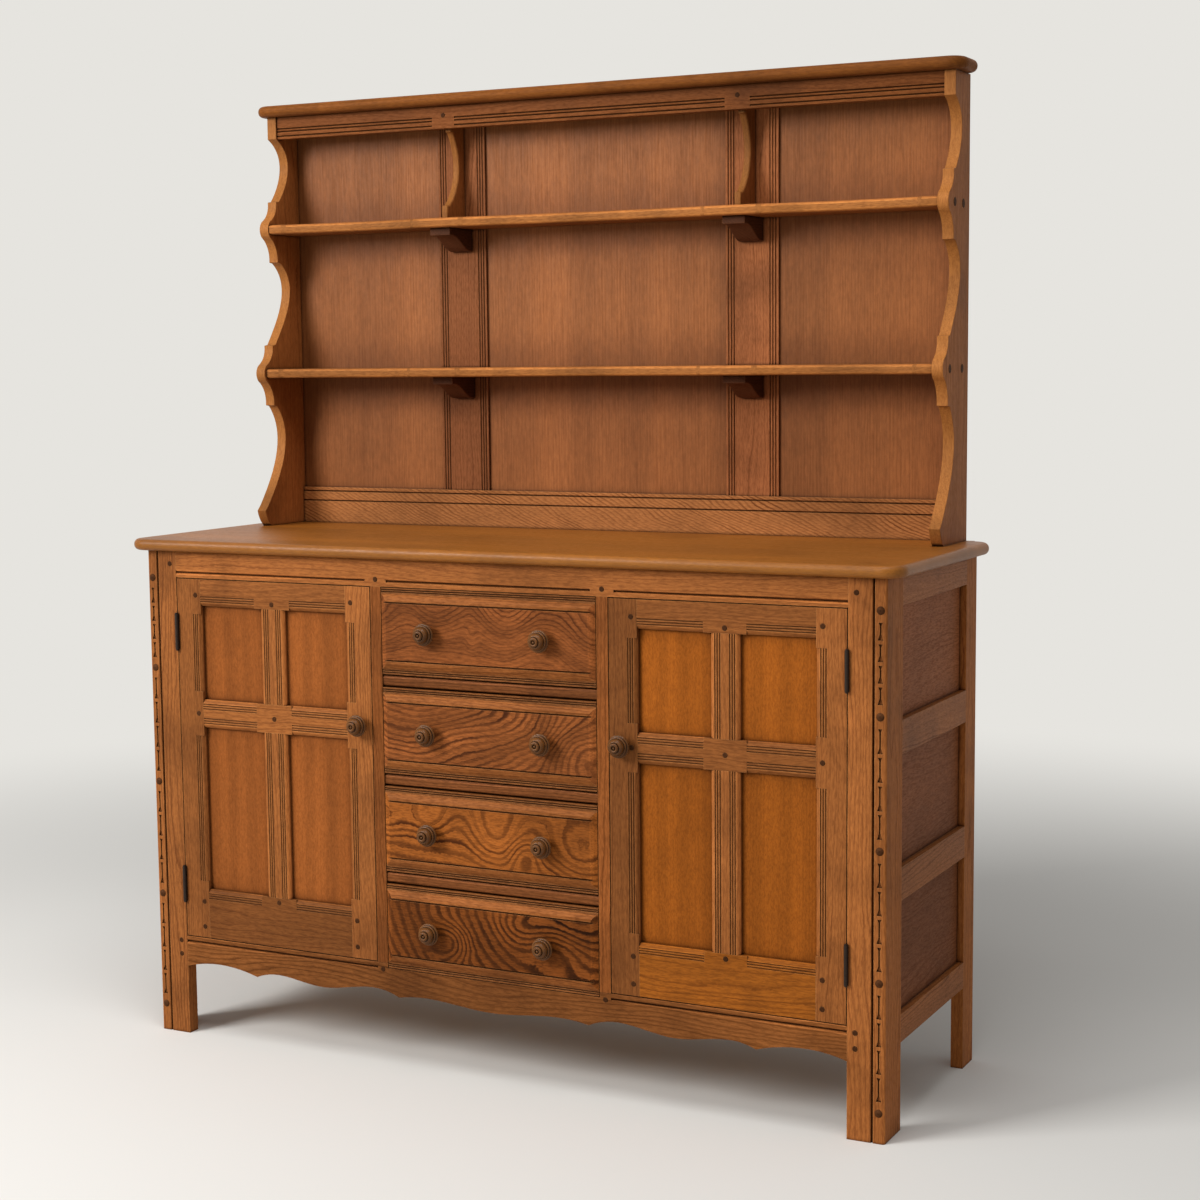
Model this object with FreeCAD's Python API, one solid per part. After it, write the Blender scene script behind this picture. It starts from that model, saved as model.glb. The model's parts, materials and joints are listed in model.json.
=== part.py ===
import FreeCAD, Part
import os

# A country dresser: a base with two doors and four drawers, and an open plate rack on its counter.
# Millimetres. X runs to the viewer's right, the front faces -Y, the floor is Z = 0.
# Pieces are drawn with Y = 0 on the face of the front frame, and moved to the middle of the depth when saved.

# Counter board
COUNTER_WIDTH = 1370.0
COUNTER_TOP = 852.0
COUNTER_THICK = 19.0
COUNTER_FRONT_OVERHANG = 20.0
COUNTER_END_OVERHANG = 28.0
COUNTER_CORNER_R = 32.0
BOARD_EDGE_R = 9.0

# Base frame
BODY_DEPTH = 430.0
END_THICK = 20.0
FRAME_THICK = 22.0
FRONT_POST = 70.0
BACK_POST = 52.0
POST_EDGE_R = 4.0
STILE_WIDTH = 38.7
STILE_BEVEL = 2.2
STILE_BEVEL_DEPTH = 4.0
MUNTIN_WIDTH = 19.5
DRAWER_OPENING = 386.0
TOP_RAIL = 45.0
APRON_TOP = 171.5
DRAWER_FLOOR = 163.0
DRAWER_RAIL = 19.0
DRAWER_RAIL_SETBACK = 2.0
DRAWER_RAIL_DEPTH = 38.0
DRAWER_RAIL_ROUND = 6.0
DRAWER_RAIL_TENON = 7.0
DRAWER_RAIL_TENON_INSET = 6.0
DRAWER_COUNT = 4

# Apron outline, heights above the floor and distances from the middle
APRON_END = 118.0
APRON_LIFT = 127.0
APRON_CUSP = 116.0
APRON_BELLY = 112.5
APRON_LIFT_X = 510.0
APRON_OUTER_CUSP_X = 454.0
APRON_INNER_CUSP_X = 173.0
APRON_SHOULDER_X = 425.0
APRON_NECK_X = 217.0

# End rails
END_TOP_RAIL = 46.0
END_UPPER_RAIL = 51.0
END_UPPER_BOTTOM = 567.5
END_LOWER_RAIL = 50.0
END_LOWER_BOTTOM = 349.0
END_FOOT_RAIL = 42.0
END_FOOT_BOTTOM = 134.0

# Joints and fits
TENON = 25.0
TENON_THICK = 8.0
TENON_SHOULDER = 5.0
STUB = 8.0
FIT = 0.1
PANEL_THICK = 5.0
PANEL_RECESS = 11.0
PANEL_TONGUE = 6.0
PEG_R = 4.0
PEG_LENGTH = 16.0
PEG_PROUD = 0.8

# Carved strip on the front posts
STRIP_INSET = 9.5
STUD_R = 6.2
STUD_PROUD = 2.4
STUD_DEPTH = 9.0
STUD_HEIGHTS = (786.0, 632.5, 436.2, 240.8, 46.2)
NOTCHES_PER_BAY = 4
NOTCH_MARGIN = 17.5
NOTCH_GAP = 5.5
NOTCH_HEAD = 3.1
NOTCH_FOOT = 4.2
NOTCH_STEM = 1.1
NOTCH_HEAD_HEIGHT = 4.5
NOTCH_FOOT_HEIGHT = 9.0
NOTCH_DEPTH = 2.6

# Grooves that form beads and reeds
GROOVE = 2.2
GROOVE_DEPTH = 2.6
REED = 5.0
REED_DEPTH = 1.8
RAIL_BEAD = 9.0
RAIL_GROOVE = 3.0
RAIL_GROOVE_DEPTH = 4.5
RAIL_BLOCK = 20.0
EDGE_BAND = 7.5
EDGE_DROP = 4.0
EDGE_BULGE = 0.2
EDGE_BEAD = 4.0
EDGE_REEDS = 2
EDGE_GROOVE = 1.6
EDGE_GROOVE_DEPTH = 1.6
EDGE_STOP = 14.0
EDGE_BLOCK = 35.0

# Inside the base
PARTITION_THICK = 12.0
FLOOR_THICK = 12.0
SHELF_THICK = 12.0
CUPBOARD_SHELF_TOP = 470.0
CLEAT = 16.0
BACK_RAIL_THICK = 20.0
BACK_RAIL = 42.0
BACK_PANEL_THICK = 6.0
BACK_PANEL_SETBACK = 11.0
RUNNER_WIDTH = 16.0
KICKER = 12.0
STOP_LENGTH = 26.0
STOP_WIDTH = 20.0
STOP_HEIGHT = 6.0
STOP_X = 120.0
STOP_GAP = 0.3

# Doors
DOOR_GAP = 1.5
DOOR_STILE = 47.5
DOOR_TOP_RAIL = 45.0
DOOR_LOCK_RAIL = 47.5
DOOR_LOCK_BOTTOM = 535.5
DOOR_BOTTOM_RAIL = 84.0
DOOR_MUNTIN = 47.0
DOOR_PANEL_RECESS = 9.0
DOOR_KNOB_HEIGHT = 562.0
DOOR_KNOB_INSET = 21.4
DOOR_TENON_WALL = 16.6
DOOR_PEG_TOP_DROP = 27.0
DOOR_PEG_LOW_RISE = 18.5
DOOR_PEG_HIGH_DROP = 21.8
DOOR_STOP = 12.0
DOOR_STOP_HEIGHT = 60.0

# Hinges
HINGE_HEIGHT = 60.0
HINGE_INSET = 60.0
HINGE_LEAF = 1.5
HINGE_LEAF_WIDTH = 15.0
KNUCKLE_R = 3.0
KNUCKLE_CLEAR = 0.3
HINGE_PIN_R = 1.4
PIN_CLEAR = 0.05
PIN_HEAD = 2.0

# Drawers
DRAWER_GAP = 1.25
SLIDE_GAP = 0.3
DRAWER_FRONT = 20.0
DRAWER_FIELD = 6.0
DRAWER_MARGIN = 9.5
DRAWER_BAND = 12.5
DRAWER_CHAMFER = 11.0
DRAWER_BULGE = 0.7
DRAWER_REEDS = 2
DRAWER_REED = 1.6
DRAWER_REED_DEPTH = 2.0
DRAWER_QUIRK = 2.2
DRAWER_QUIRK_DEPTH = 2.6
DRAWER_SIDE = 10.0
DRAWER_LAP = 9.0
DRAWER_BOX = 370.0
DRAWER_BOTTOM = 4.0
DRAWER_BOTTOM_RISE = 8.0
DRAWER_GROOVE = 5.0
DRAWER_TOP_DROP = 6.0
DRAWER_KNOB_X = 103.0

# Turned knobs: radius and distance out from the face
KNOB_R = 18.0
KNOB_LENGTH = 32.0
KNOB_NECK = 8.8
KNOB_RIM_BACK = 13.0
KNOB_RIM = 19.0
KNOB_NECK_R = 8.0
KNOB_SPIGOT_R = 5.0
KNOB_SPIGOT = 17.0
KNOB_RINGS = 2
KNOB_BUTTON_R = 4.2
KNOB_BUTTON = 2.4

# Plate rack
RACK_END_THICK = 18.0
RACK_END_INSET = 17.5
RACK_HEIGHT = 730.0
LOWER_SHELF_RISE = 282.0
UPPER_SHELF_RISE = 538.0
RACK_SHELF_THICK = 16.5
LOWER_SHELF_DEPTH = 124.0
UPPER_SHELF_DEPTH = 105.0
HOUSING = 6.0
SHELF_STOP = 12.0
SHELF_END_PAD = 26.0
SHELF_PAD = 90.0
SHELF_STEP = 4.0
SHELF_RAMP = 8.0
SHELF_SCALLOP = 8.5
DIVIDER_X = 275.0
DIVIDER_THICK = 13.0
DIVIDER_FOOT_DEPTH = 72.0
DIVIDER_FOOT = 22.0
DIVIDER_WAIST_DEPTH = 32.0
DIVIDER_WAIST_RISE = 15.0
DIVIDER_FOOT_STEP = 8.0
DIVIDER_HEAD_STEP = 5.0
BRACKET_WIDTH = 40.0
BRACKET_DEPTH = 89.0
BRACKET_NOSE = 13.0
BRACKET_HEIGHT = 38.0
BRACKET_CURVE = ((0.3, 0.12), (0.6, 0.65))
RACK_MUNTIN = 94.0
RACK_MUNTIN_THICK = 12.0
RACK_PANEL_THICK = 4.0
RACK_PANEL_SETBACK = 4.0
RACK_FOOT_RAIL = 65.0
RACK_FOOT_RAIL_THICK = 15.0
FOOT_RAIL_GROOVES = (7.0, 24.5)
FRIEZE = 38.5
FRIEZE_THICK = 16.0
FRIEZE_DEPTH = 72.0
FRIEZE_BLOCK = 44.0
FRIEZE_PEG_DROP = 16.2
FRIEZE_GROOVES = (5.0, 13.0, 18.0)
CORNICE_THICK = 19.0
CORNICE_OVERHANG = 18.5
CORNICE_DEPTH = 95.0
CORNICE_CORNER_R = 28.0
PLUG_R = 7.0
PLUG_DEPTH = 4.0

# Rack end outline, as reaches forward from the back
END_TOP_REACH = 75.0
END_TOP_HOLLOW = 41.0
UPPER_LOBE_REACH = 107.0
MIDDLE_HOLLOW = 44.0
LOWER_LOBE_REACH = 129.0
LOWER_HOLLOW = 69.0
TOE_REACH = 136.5
TOE_HEIGHT = 28.0
FOOT_REACH = 119.0
TOE_ROUND = 5.5
LOBE_NOSE = 17.0
LOBE_NOSE_DROP = 11.0
LOBE_UPPER = 50.0
LOBE_LOWER = 57.0
LOBE_SIDE_DROP = 27.0
LOBE_STEP = 9.0
LOBE_STEP_RISE = 1.5
LOBE_BEND_AT = 0.55
LOBE_BEND = 0.18

# Shape of the hollows between the lobes, as shares of each run
TOP_HOLLOW_AT = 0.48
MIDDLE_HOLLOW_AT = 0.3
LOWER_HOLLOW_AT = 0.33
HOLLOW_BEND_AT = 0.6
HOLLOW_BEND = 0.42

# Places worked out from the sizes
CARCASS_TOP = COUNTER_TOP - COUNTER_THICK
BASE_HALF = COUNTER_WIDTH / 2 - COUNTER_END_OVERHANG
END_INNER = BASE_HALF - END_THICK
STILE_INNER = END_INNER - STILE_WIDTH
DRAWER_HALF = DRAWER_OPENING / 2
MUNTIN_OUTER = DRAWER_HALF + MUNTIN_WIDTH
OPENING_TOP = CARCASS_TOP - TOP_RAIL
BACK_POST_FRONT = BODY_DEPTH - BACK_POST
BACK_RAIL_FACE = BODY_DEPTH - BACK_RAIL_THICK
BACK_PANEL_FACE = BODY_DEPTH - BACK_PANEL_SETBACK - BACK_PANEL_THICK
DRAWER_SPACE = (OPENING_TOP - DRAWER_FLOOR - (DRAWER_COUNT - 1) * DRAWER_RAIL) / DRAWER_COUNT
DRAWER_PITCH = DRAWER_SPACE + DRAWER_RAIL
DOOR_IN = MUNTIN_OUTER + DOOR_GAP
DOOR_OUT = STILE_INNER - DOOR_GAP
DOOR_BOTTOM = APRON_TOP + DOOR_GAP
DOOR_TOP = OPENING_TOP - DOOR_GAP
DOOR_MIDDLE = (DOOR_IN + DOOR_OUT) / 2
DOOR_THICK = FRAME_THICK - STOP_GAP
HINGE_X = STILE_INNER - DOOR_GAP / 2
HINGE_Y = -KNUCKLE_R - KNUCKLE_CLEAR
RACK_OUTER = BASE_HALF - RACK_END_INSET
RACK_INNER = RACK_OUTER - RACK_END_THICK
RACK_TOP = COUNTER_TOP + RACK_HEIGHT
RACK_BACK = BODY_DEPTH
RACK_MUNTIN_FACE = RACK_BACK - RACK_MUNTIN_THICK
RACK_PANEL_FACE = RACK_BACK - RACK_PANEL_SETBACK - RACK_PANEL_THICK
RACK_FOOT_TOP = COUNTER_TOP + RACK_FOOT_RAIL
LOWER_SHELF_TOP = COUNTER_TOP + LOWER_SHELF_RISE
UPPER_SHELF_TOP = COUNTER_TOP + UPPER_SHELF_RISE
FRIEZE_FACE = RACK_BACK - FRIEZE_DEPTH
DIVIDER_HEAD = FRIEZE_FACE + FRIEZE_THICK
KNOB_FRONT = -DRAWER_FIELD - KNOB_LENGTH
FRONT_REACH = min(KNOB_FRONT, -COUNTER_FRONT_OVERHANG)
MIDDLE_Y = (FRONT_REACH + BODY_DEPTH) / 2


def vec(x, y, z):
    return FreeCAD.Vector(x, y, z)


def block(x0, x1, y0, y1, z0, z1):
    """A straight-sided board between two corners."""
    return Part.makeBox(x1 - x0, y1 - y0, z1 - z0, vec(x0, y0, z0))


def grown(corners, gap=FIT):
    """The hole for a tongue or tenon: its block with a little room all round."""
    x0, x1, y0, y1, z0, z1 = corners
    return block(x0 - gap, x1 + gap, y0 - gap, y1 + gap, z0 - gap, z1 + gap)


def slab_x(points, x0, x1):
    """A prism along X on an outline of (y, z) points."""
    corners = [vec(x0, y, z) for y, z in points]
    face = Part.Face(Part.makePolygon(corners + corners[:1]))
    return face.extrude(vec(x1 - x0, 0, 0))


def slab_y(points, y0, y1):
    """A prism along Y on an outline of (x, z) points."""
    corners = [vec(x, y0, z) for x, z in points]
    face = Part.Face(Part.makePolygon(corners + corners[:1]))
    return face.extrude(vec(0, y1 - y0, 0))


def slab_z(points, z0, z1):
    """A prism along Z on an outline of (x, y) points."""
    corners = [vec(x, y, z0) for x, y in points]
    face = Part.Face(Part.makePolygon(corners + corners[:1]))
    return face.extrude(vec(0, 0, z1 - z0))


def rod_y(x, z, radius, y0, y1):
    return Part.makeCylinder(radius, y1 - y0, vec(x, y0, z), vec(0, 1, 0))


def rod_x(y, z, radius, x0, x1):
    return Part.makeCylinder(radius, x1 - x0, vec(x0, y, z), vec(1, 0, 0))


def rod_z(x, y, radius, z0, z1):
    return Part.makeCylinder(radius, z1 - z0, vec(x, y, z0), vec(0, 0, 1))


def arc(a, b, c):
    return Part.Arc(a, b, c).toShape()


def line(a, b):
    return Part.LineSegment(a, b).toShape()


def curve(points):
    spline = Part.BSplineCurve()
    spline.interpolate(points)
    return spline.toShape()


def mirrored(shape):
    return shape.mirror(vec(0, 0, 0), vec(1, 0, 0))


def both(shape):
    return [shape, mirrored(shape)]


def joined(base, extras):
    return base.fuse(extras).removeSplitter() if extras else base


def cut(base, tools):
    return base.cut(tools).removeSplitter() if tools else base


def groove_x(x0, x1, face_y, z, width=GROOVE, depth=GROOVE_DEPTH):
    """A V-shaped groove along X in a face that looks towards -Y."""
    half = width / 2
    return slab_x([(face_y - half, z - 2 * half), (face_y + depth, z), (face_y - half, z + 2 * half)], x0, x1)


def groove_z(z0, z1, face_y, x, width=GROOVE, depth=GROOVE_DEPTH):
    """A V-shaped groove along Z in a face that looks towards -Y."""
    half = width / 2
    return slab_z([(x - 2 * half, face_y - half), (x, face_y + depth), (x + 2 * half, face_y - half)], z0, z1)


def pegs(places, face_y):
    """Wooden pegs driven through a joint from the front, a little proud of the face."""
    return [rod_y(x, z, PEG_R, face_y - PEG_PROUD, face_y + PEG_LENGTH) for x, z in places]


def peg_holes(places, face_y):
    return [rod_y(x, z, PEG_R + FIT, face_y - PEG_PROUD, face_y + PEG_LENGTH + FIT) for x, z in places]


def save(name, solids):
    """Write one node, moved from the frame face to the middle of the whole depth."""
    pieces = []
    for shape in solids:
        for solid in shape.Solids:
            placed = solid.copy()
            placed.translate(vec(0, -MIDDLE_Y, 0))
            pieces.append(placed)
    body = pieces[0] if len(pieces) == 1 else Part.makeCompound(pieces)
    body.exportStep(os.path.join("parts", name + ".step"))


os.makedirs("parts", exist_ok=True)


# Base ends: two posts, four tenoned rails and three panels in grooves

END_RAIL_SPANS = (
    (END_FOOT_BOTTOM, END_FOOT_BOTTOM + END_FOOT_RAIL),
    (END_LOWER_BOTTOM, END_LOWER_BOTTOM + END_LOWER_RAIL),
    (END_UPPER_BOTTOM, END_UPPER_BOTTOM + END_UPPER_RAIL),
    (CARCASS_TOP - END_TOP_RAIL, CARCASS_TOP),
)
TENON_X0 = END_INNER + (END_THICK - TENON_THICK) / 2
TENON_X1 = TENON_X0 + TENON_THICK
PANEL_X1 = BASE_HALF - PANEL_RECESS
PANEL_X0 = PANEL_X1 - PANEL_THICK


def end_tenons(z0, z1):
    """Corners of a rail's two tenons, one into each post."""
    top = z1 - TENON_SHOULDER
    bottom = z0 + TENON_SHOULDER
    front = (TENON_X0, TENON_X1, FRONT_POST - TENON, FRONT_POST, bottom, top)
    back = (TENON_X0, TENON_X1, BACK_POST_FRONT, BACK_POST_FRONT + TENON, bottom, top)
    return [front, back]


def end_panel(lower, upper):
    """Corners of the panel between two rails, tongues included."""
    return (PANEL_X0, PANEL_X1, FRONT_POST - PANEL_TONGUE, BACK_POST_FRONT + PANEL_TONGUE,
            lower - PANEL_TONGUE, upper + PANEL_TONGUE)


END_TENONS = [corners for span in END_RAIL_SPANS for corners in end_tenons(*span)]
END_PANELS = [end_panel(low[1], high[0]) for low, high in zip(END_RAIL_SPANS, END_RAIL_SPANS[1:])]
FLOOR_TONGUE_X = END_INNER + HOUSING
FLOOR_SIDE_TONGUE = (END_INNER, FLOOR_TONGUE_X, FRONT_POST, BACK_POST_FRONT,
                     DRAWER_FLOOR - FLOOR_THICK, DRAWER_FLOOR)


def notch(x, top, length):
    """One carved cut: a small head, a thin stem and a wider foot."""
    head = top - NOTCH_HEAD_HEIGHT
    bottom = top - length
    foot = bottom + NOTCH_FOOT_HEIGHT
    outline = [(x - NOTCH_HEAD, top), (x + NOTCH_HEAD, top), (x + NOTCH_STEM, head), (x + NOTCH_STEM, foot),
               (x + NOTCH_FOOT, bottom), (x - NOTCH_FOOT, bottom), (x - NOTCH_STEM, foot), (x - NOTCH_STEM, head)]
    return slab_y(outline, -NOTCH_DEPTH, NOTCH_DEPTH)


STRIP_X = BASE_HALF - STRIP_INSET


def carved_strip():
    """Cuts between the studs of one post, four to a bay."""
    cuts = []
    for upper, lower in zip(STUD_HEIGHTS, STUD_HEIGHTS[1:]):
        run = upper - lower - 2 * NOTCH_MARGIN - (NOTCHES_PER_BAY - 1) * NOTCH_GAP
        length = run / NOTCHES_PER_BAY
        for step in range(NOTCHES_PER_BAY):
            cuts.append(notch(STRIP_X, upper - NOTCH_MARGIN - step * (length + NOTCH_GAP), length))
    return cuts


def stile_bevel():
    """The V-shaped line between a post and the front stile beside it."""
    return slab_z([(END_INNER - STILE_BEVEL, -FIT), (END_INNER, STILE_BEVEL_DEPTH),
                   (END_INNER + STILE_BEVEL, -FIT)], -FIT, CARCASS_TOP + FIT)


def front_post():
    post = block(END_INNER, BASE_HALF, 0, FRONT_POST, 0, CARCASS_TOP)
    edge = [e for e in post.Edges if e.BoundBox.ZLength > CARCASS_TOP / 2
            and e.BoundBox.XMin > BASE_HALF - FIT and e.BoundBox.YMax < FIT]
    post = post.makeFillet(POST_EDGE_R, edge)
    tools = [grown(c) for c in END_TENONS + END_PANELS]
    tools += [rod_y(STRIP_X, z, STUD_R - STUD_PROUD + FIT, -FIT, STUD_DEPTH + FIT) for z in STUD_HEIGHTS]
    return cut(post, tools + carved_strip() + [stile_bevel()])


def back_post():
    post = block(END_INNER, BASE_HALF, BACK_POST_FRONT, BODY_DEPTH, 0, CARCASS_TOP)
    return cut(post, [grown(c) for c in END_TENONS + END_PANELS + BACK_TENONS + [BACK_PANEL]])


def end_rail(span):
    z0, z1 = span
    rail = block(END_INNER, BASE_HALF, FRONT_POST, BACK_POST_FRONT, z0, z1)
    rail = joined(rail, [block(*c) for c in end_tenons(z0, z1)])
    return cut(rail, [grown(c) for c in END_PANELS + [FLOOR_SIDE_TONGUE]])


def stud(z):
    """A turned stud: a domed head on a short shank."""
    shank = rod_y(STRIP_X, z, STUD_R - STUD_PROUD, 0, STUD_DEPTH)
    dome_r = (STUD_R ** 2 + STUD_PROUD ** 2) / (2 * STUD_PROUD)
    ball = Part.makeSphere(dome_r, vec(STRIP_X, dome_r - STUD_PROUD, z))
    head = ball.common(block(STRIP_X - STUD_R, STRIP_X + STUD_R, -STUD_PROUD, 0, z - STUD_R, z + STUD_R))
    return joined(head, [shank])


# Base back: two rails between the back posts and a thin panel in their grooves

BACK_RAIL_SPANS = (
    (END_FOOT_BOTTOM, END_FOOT_BOTTOM + BACK_RAIL),
    (CARCASS_TOP - BACK_RAIL, CARCASS_TOP),
)
BACK_TENON_Y0 = BACK_RAIL_FACE + TENON_SHOULDER


def back_tenon(z0, z1, side):
    """Corners of a back rail's tenon; the end frame is thin, so it is a stub."""
    inner, outer = sorted((side * END_INNER, side * (END_INNER + STUB)))
    return (inner, outer, BACK_TENON_Y0, BACK_TENON_Y0 + TENON_THICK, z0 + TENON_SHOULDER, z1 - TENON_SHOULDER)


BACK_TENONS = [back_tenon(z0, z1, 1) for z0, z1 in BACK_RAIL_SPANS]
BACK_PANEL = (-END_INNER - PANEL_TONGUE, END_INNER + PANEL_TONGUE,
              BACK_PANEL_FACE, BACK_PANEL_FACE + BACK_PANEL_THICK,
              BACK_RAIL_SPANS[0][1] - PANEL_TONGUE, BACK_RAIL_SPANS[1][0] + PANEL_TONGUE)


def back_rail(span):
    z0, z1 = span
    rail = block(-END_INNER, END_INNER, BACK_RAIL_FACE, BODY_DEPTH, z0, z1)
    rail = joined(rail, [block(*back_tenon(z0, z1, side)) for side in (-1, 1)])
    return cut(rail, [grown(BACK_PANEL)])


# Front frame: stiles, top rail, apron, the two muntins beside the drawers and the rails between them

FRAME_TENON_Y0 = (FRAME_THICK - TENON_THICK) / 2
FRAME_TENON_Y1 = FRAME_TENON_Y0 + TENON_THICK
MUNTIN_X0 = DRAWER_HALF + TENON_SHOULDER
MUNTIN_X1 = MUNTIN_OUTER - TENON_SHOULDER
MUNTIN_X = (DRAWER_HALF + MUNTIN_OUTER) / 2
STILE_PEG_X = STILE_INNER + TENON / 2
APRON_TENON_BOTTOM = APRON_LIFT + TENON_SHOULDER
APRON_PEG_LOW = APRON_TENON_BOTTOM + PEG_R + TENON_SHOULDER / 2
APRON_PEG_HIGH = APRON_TOP - TENON_SHOULDER - PEG_R
TOP_PEG = CARCASS_TOP - TOP_RAIL / 2
MUNTIN_TENON = TOP_RAIL / 2
MUNTIN_PEG_TOP = OPENING_TOP + MUNTIN_TENON / 2
MUNTIN_PEG_LOW = APRON_TOP - MUNTIN_TENON / 2

TOP_RAIL_TENON = (STILE_INNER, STILE_INNER + TENON, FRAME_TENON_Y0, FRAME_TENON_Y1,
                  OPENING_TOP + TENON_SHOULDER, CARCASS_TOP - TENON_SHOULDER)
APRON_TENON = (STILE_INNER, STILE_INNER + TENON, FRAME_TENON_Y0, FRAME_TENON_Y1,
               APRON_TENON_BOTTOM, APRON_TOP - TENON_SHOULDER)
MUNTIN_TOP_TENON = (MUNTIN_X0, MUNTIN_X1, FRAME_TENON_Y0, FRAME_TENON_Y1,
                    OPENING_TOP, OPENING_TOP + MUNTIN_TENON)
MUNTIN_LOW_TENON = (MUNTIN_X0, MUNTIN_X1, FRAME_TENON_Y0, FRAME_TENON_Y1,
                    APRON_TOP - MUNTIN_TENON, APRON_TOP)
PARTITION_TONGUE = (DRAWER_HALF + PARTITION_THICK / 4, DRAWER_HALF + PARTITION_THICK * 3 / 4,
                    FRAME_THICK - HOUSING, FRAME_THICK, APRON_TOP, OPENING_TOP)
FLOOR_FRONT_TONGUE = (-STILE_INNER, STILE_INNER, FRAME_THICK - HOUSING, FRAME_THICK,
                      DRAWER_FLOOR - FLOOR_THICK, DRAWER_FLOOR - FLOOR_THICK / 2)
FRAME_PEGS = [(STILE_PEG_X, TOP_PEG), (STILE_PEG_X, APRON_PEG_HIGH), (STILE_PEG_X, APRON_PEG_LOW),
              (MUNTIN_X, MUNTIN_PEG_TOP), (MUNTIN_X, MUNTIN_PEG_LOW)]
FRAME_PEGS += [(-x, z) for x, z in FRAME_PEGS]


def drawer_base(index):
    """Height of the bottom of a drawer's opening; drawer 0 is the top one."""
    return OPENING_TOP - DRAWER_SPACE - index * DRAWER_PITCH


def drawer_rail_tenon(index, side):
    top = drawer_base(index)
    y0 = DRAWER_RAIL_SETBACK + DRAWER_RAIL_TENON_INSET
    inner, outer = sorted((side * DRAWER_HALF, side * (DRAWER_HALF + STUB)))
    return (inner, outer, y0, y0 + DRAWER_RAIL_TENON, top - DRAWER_RAIL + TENON_SHOULDER, top - TENON_SHOULDER)


def drawer_rail(index):
    """A rail under a drawer, its front edges rounded over."""
    top = drawer_base(index)
    y0 = DRAWER_RAIL_SETBACK
    rail = block(-DRAWER_HALF, DRAWER_HALF, y0, y0 + DRAWER_RAIL_DEPTH, top - DRAWER_RAIL, top)
    front = [e for e in rail.Edges if e.BoundBox.XLength > DRAWER_HALF and e.BoundBox.YMax < y0 + FIT]
    rail = rail.makeFillet(min(DRAWER_RAIL_ROUND, DRAWER_RAIL / 2 - FIT), front)
    return joined(rail, [block(*drawer_rail_tenon(index, side)) for side in (-1, 1)])


RAIL_INDEXES = range(DRAWER_COUNT - 1)
HINGE_BOTTOMS = (DOOR_BOTTOM + HINGE_INSET, DOOR_TOP - HINGE_INSET - HINGE_HEIGHT)


def hinge_leaf_plate(inner, outer, z):
    return (inner, outer, HINGE_Y, HINGE_LEAF_WIDTH, z, z + HINGE_HEIGHT)


def front_stile():
    stile = block(STILE_INNER, END_INNER, 0, FRAME_THICK, 0, CARCASS_TOP)
    tools = [grown(TOP_RAIL_TENON), grown(APRON_TENON), stile_bevel()]
    tools += [grown(hinge_leaf_plate(STILE_INNER, STILE_INNER + HINGE_LEAF, z)) for z in HINGE_BOTTOMS]
    return cut(stile, tools + peg_holes(FRAME_PEGS, 0))


def front_muntin():
    muntin = block(DRAWER_HALF, MUNTIN_OUTER, 0, FRAME_THICK, APRON_TOP, OPENING_TOP)
    muntin = joined(muntin, [block(*MUNTIN_TOP_TENON), block(*MUNTIN_LOW_TENON)])
    tools = [grown(drawer_rail_tenon(index, 1)) for index in RAIL_INDEXES]
    return cut(muntin, tools + [grown(PARTITION_TONGUE)] + peg_holes(FRAME_PEGS, 0))


def rail_groove(x0, x1, z):
    """The deep groove that parts a bead from the rest of a frame rail."""
    return groove_x(x0, x1, 0, z, RAIL_GROOVE, RAIL_GROOVE_DEPTH)


def top_rail():
    rail = block(-STILE_INNER, STILE_INNER, 0, FRAME_THICK, OPENING_TOP, CARCASS_TOP)
    tenon = block(*TOP_RAIL_TENON)
    rail = joined(rail, both(tenon))
    bead = OPENING_TOP + RAIL_BEAD
    tools = both(grown(MUNTIN_TOP_TENON)) + peg_holes(FRAME_PEGS, 0)
    runs = both(rail_groove(MUNTIN_X + RAIL_BLOCK, STILE_INNER, bead))
    tools += runs + [rail_groove(-MUNTIN_X + RAIL_BLOCK, MUNTIN_X - RAIL_BLOCK, bead)]
    return cut(rail, tools)


def apron_half_edge():
    """Lower edge of the apron from its right end to the middle: cusps with arched runs between."""
    lift = APRON_LIFT
    mid = (APRON_SHOULDER_X + APRON_NECK_X) / 2
    points = [vec(STILE_INNER, 0, APRON_END), vec((STILE_INNER + APRON_LIFT_X) / 2, 0, lift),
              vec(APRON_LIFT_X, 0, lift), vec(APRON_OUTER_CUSP_X, 0, APRON_CUSP),
              vec(APRON_SHOULDER_X, 0, lift - HOUSING / 2), vec(mid, 0, APRON_END - HOUSING / 2),
              vec(APRON_NECK_X, 0, lift), vec(APRON_INNER_CUSP_X, 0, APRON_CUSP)]
    shoulder = APRON_INNER_CUSP_X * 3 / 4
    inner = [vec(APRON_INNER_CUSP_X, 0, APRON_CUSP), vec(shoulder, 0, lift - HOUSING),
             vec(0, 0, APRON_BELLY), vec(-shoulder, 0, lift - HOUSING), vec(-APRON_INNER_CUSP_X, 0, APRON_CUSP)]
    return [curve(points[0:4]), curve(points[3:8]), curve(inner)]


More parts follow.
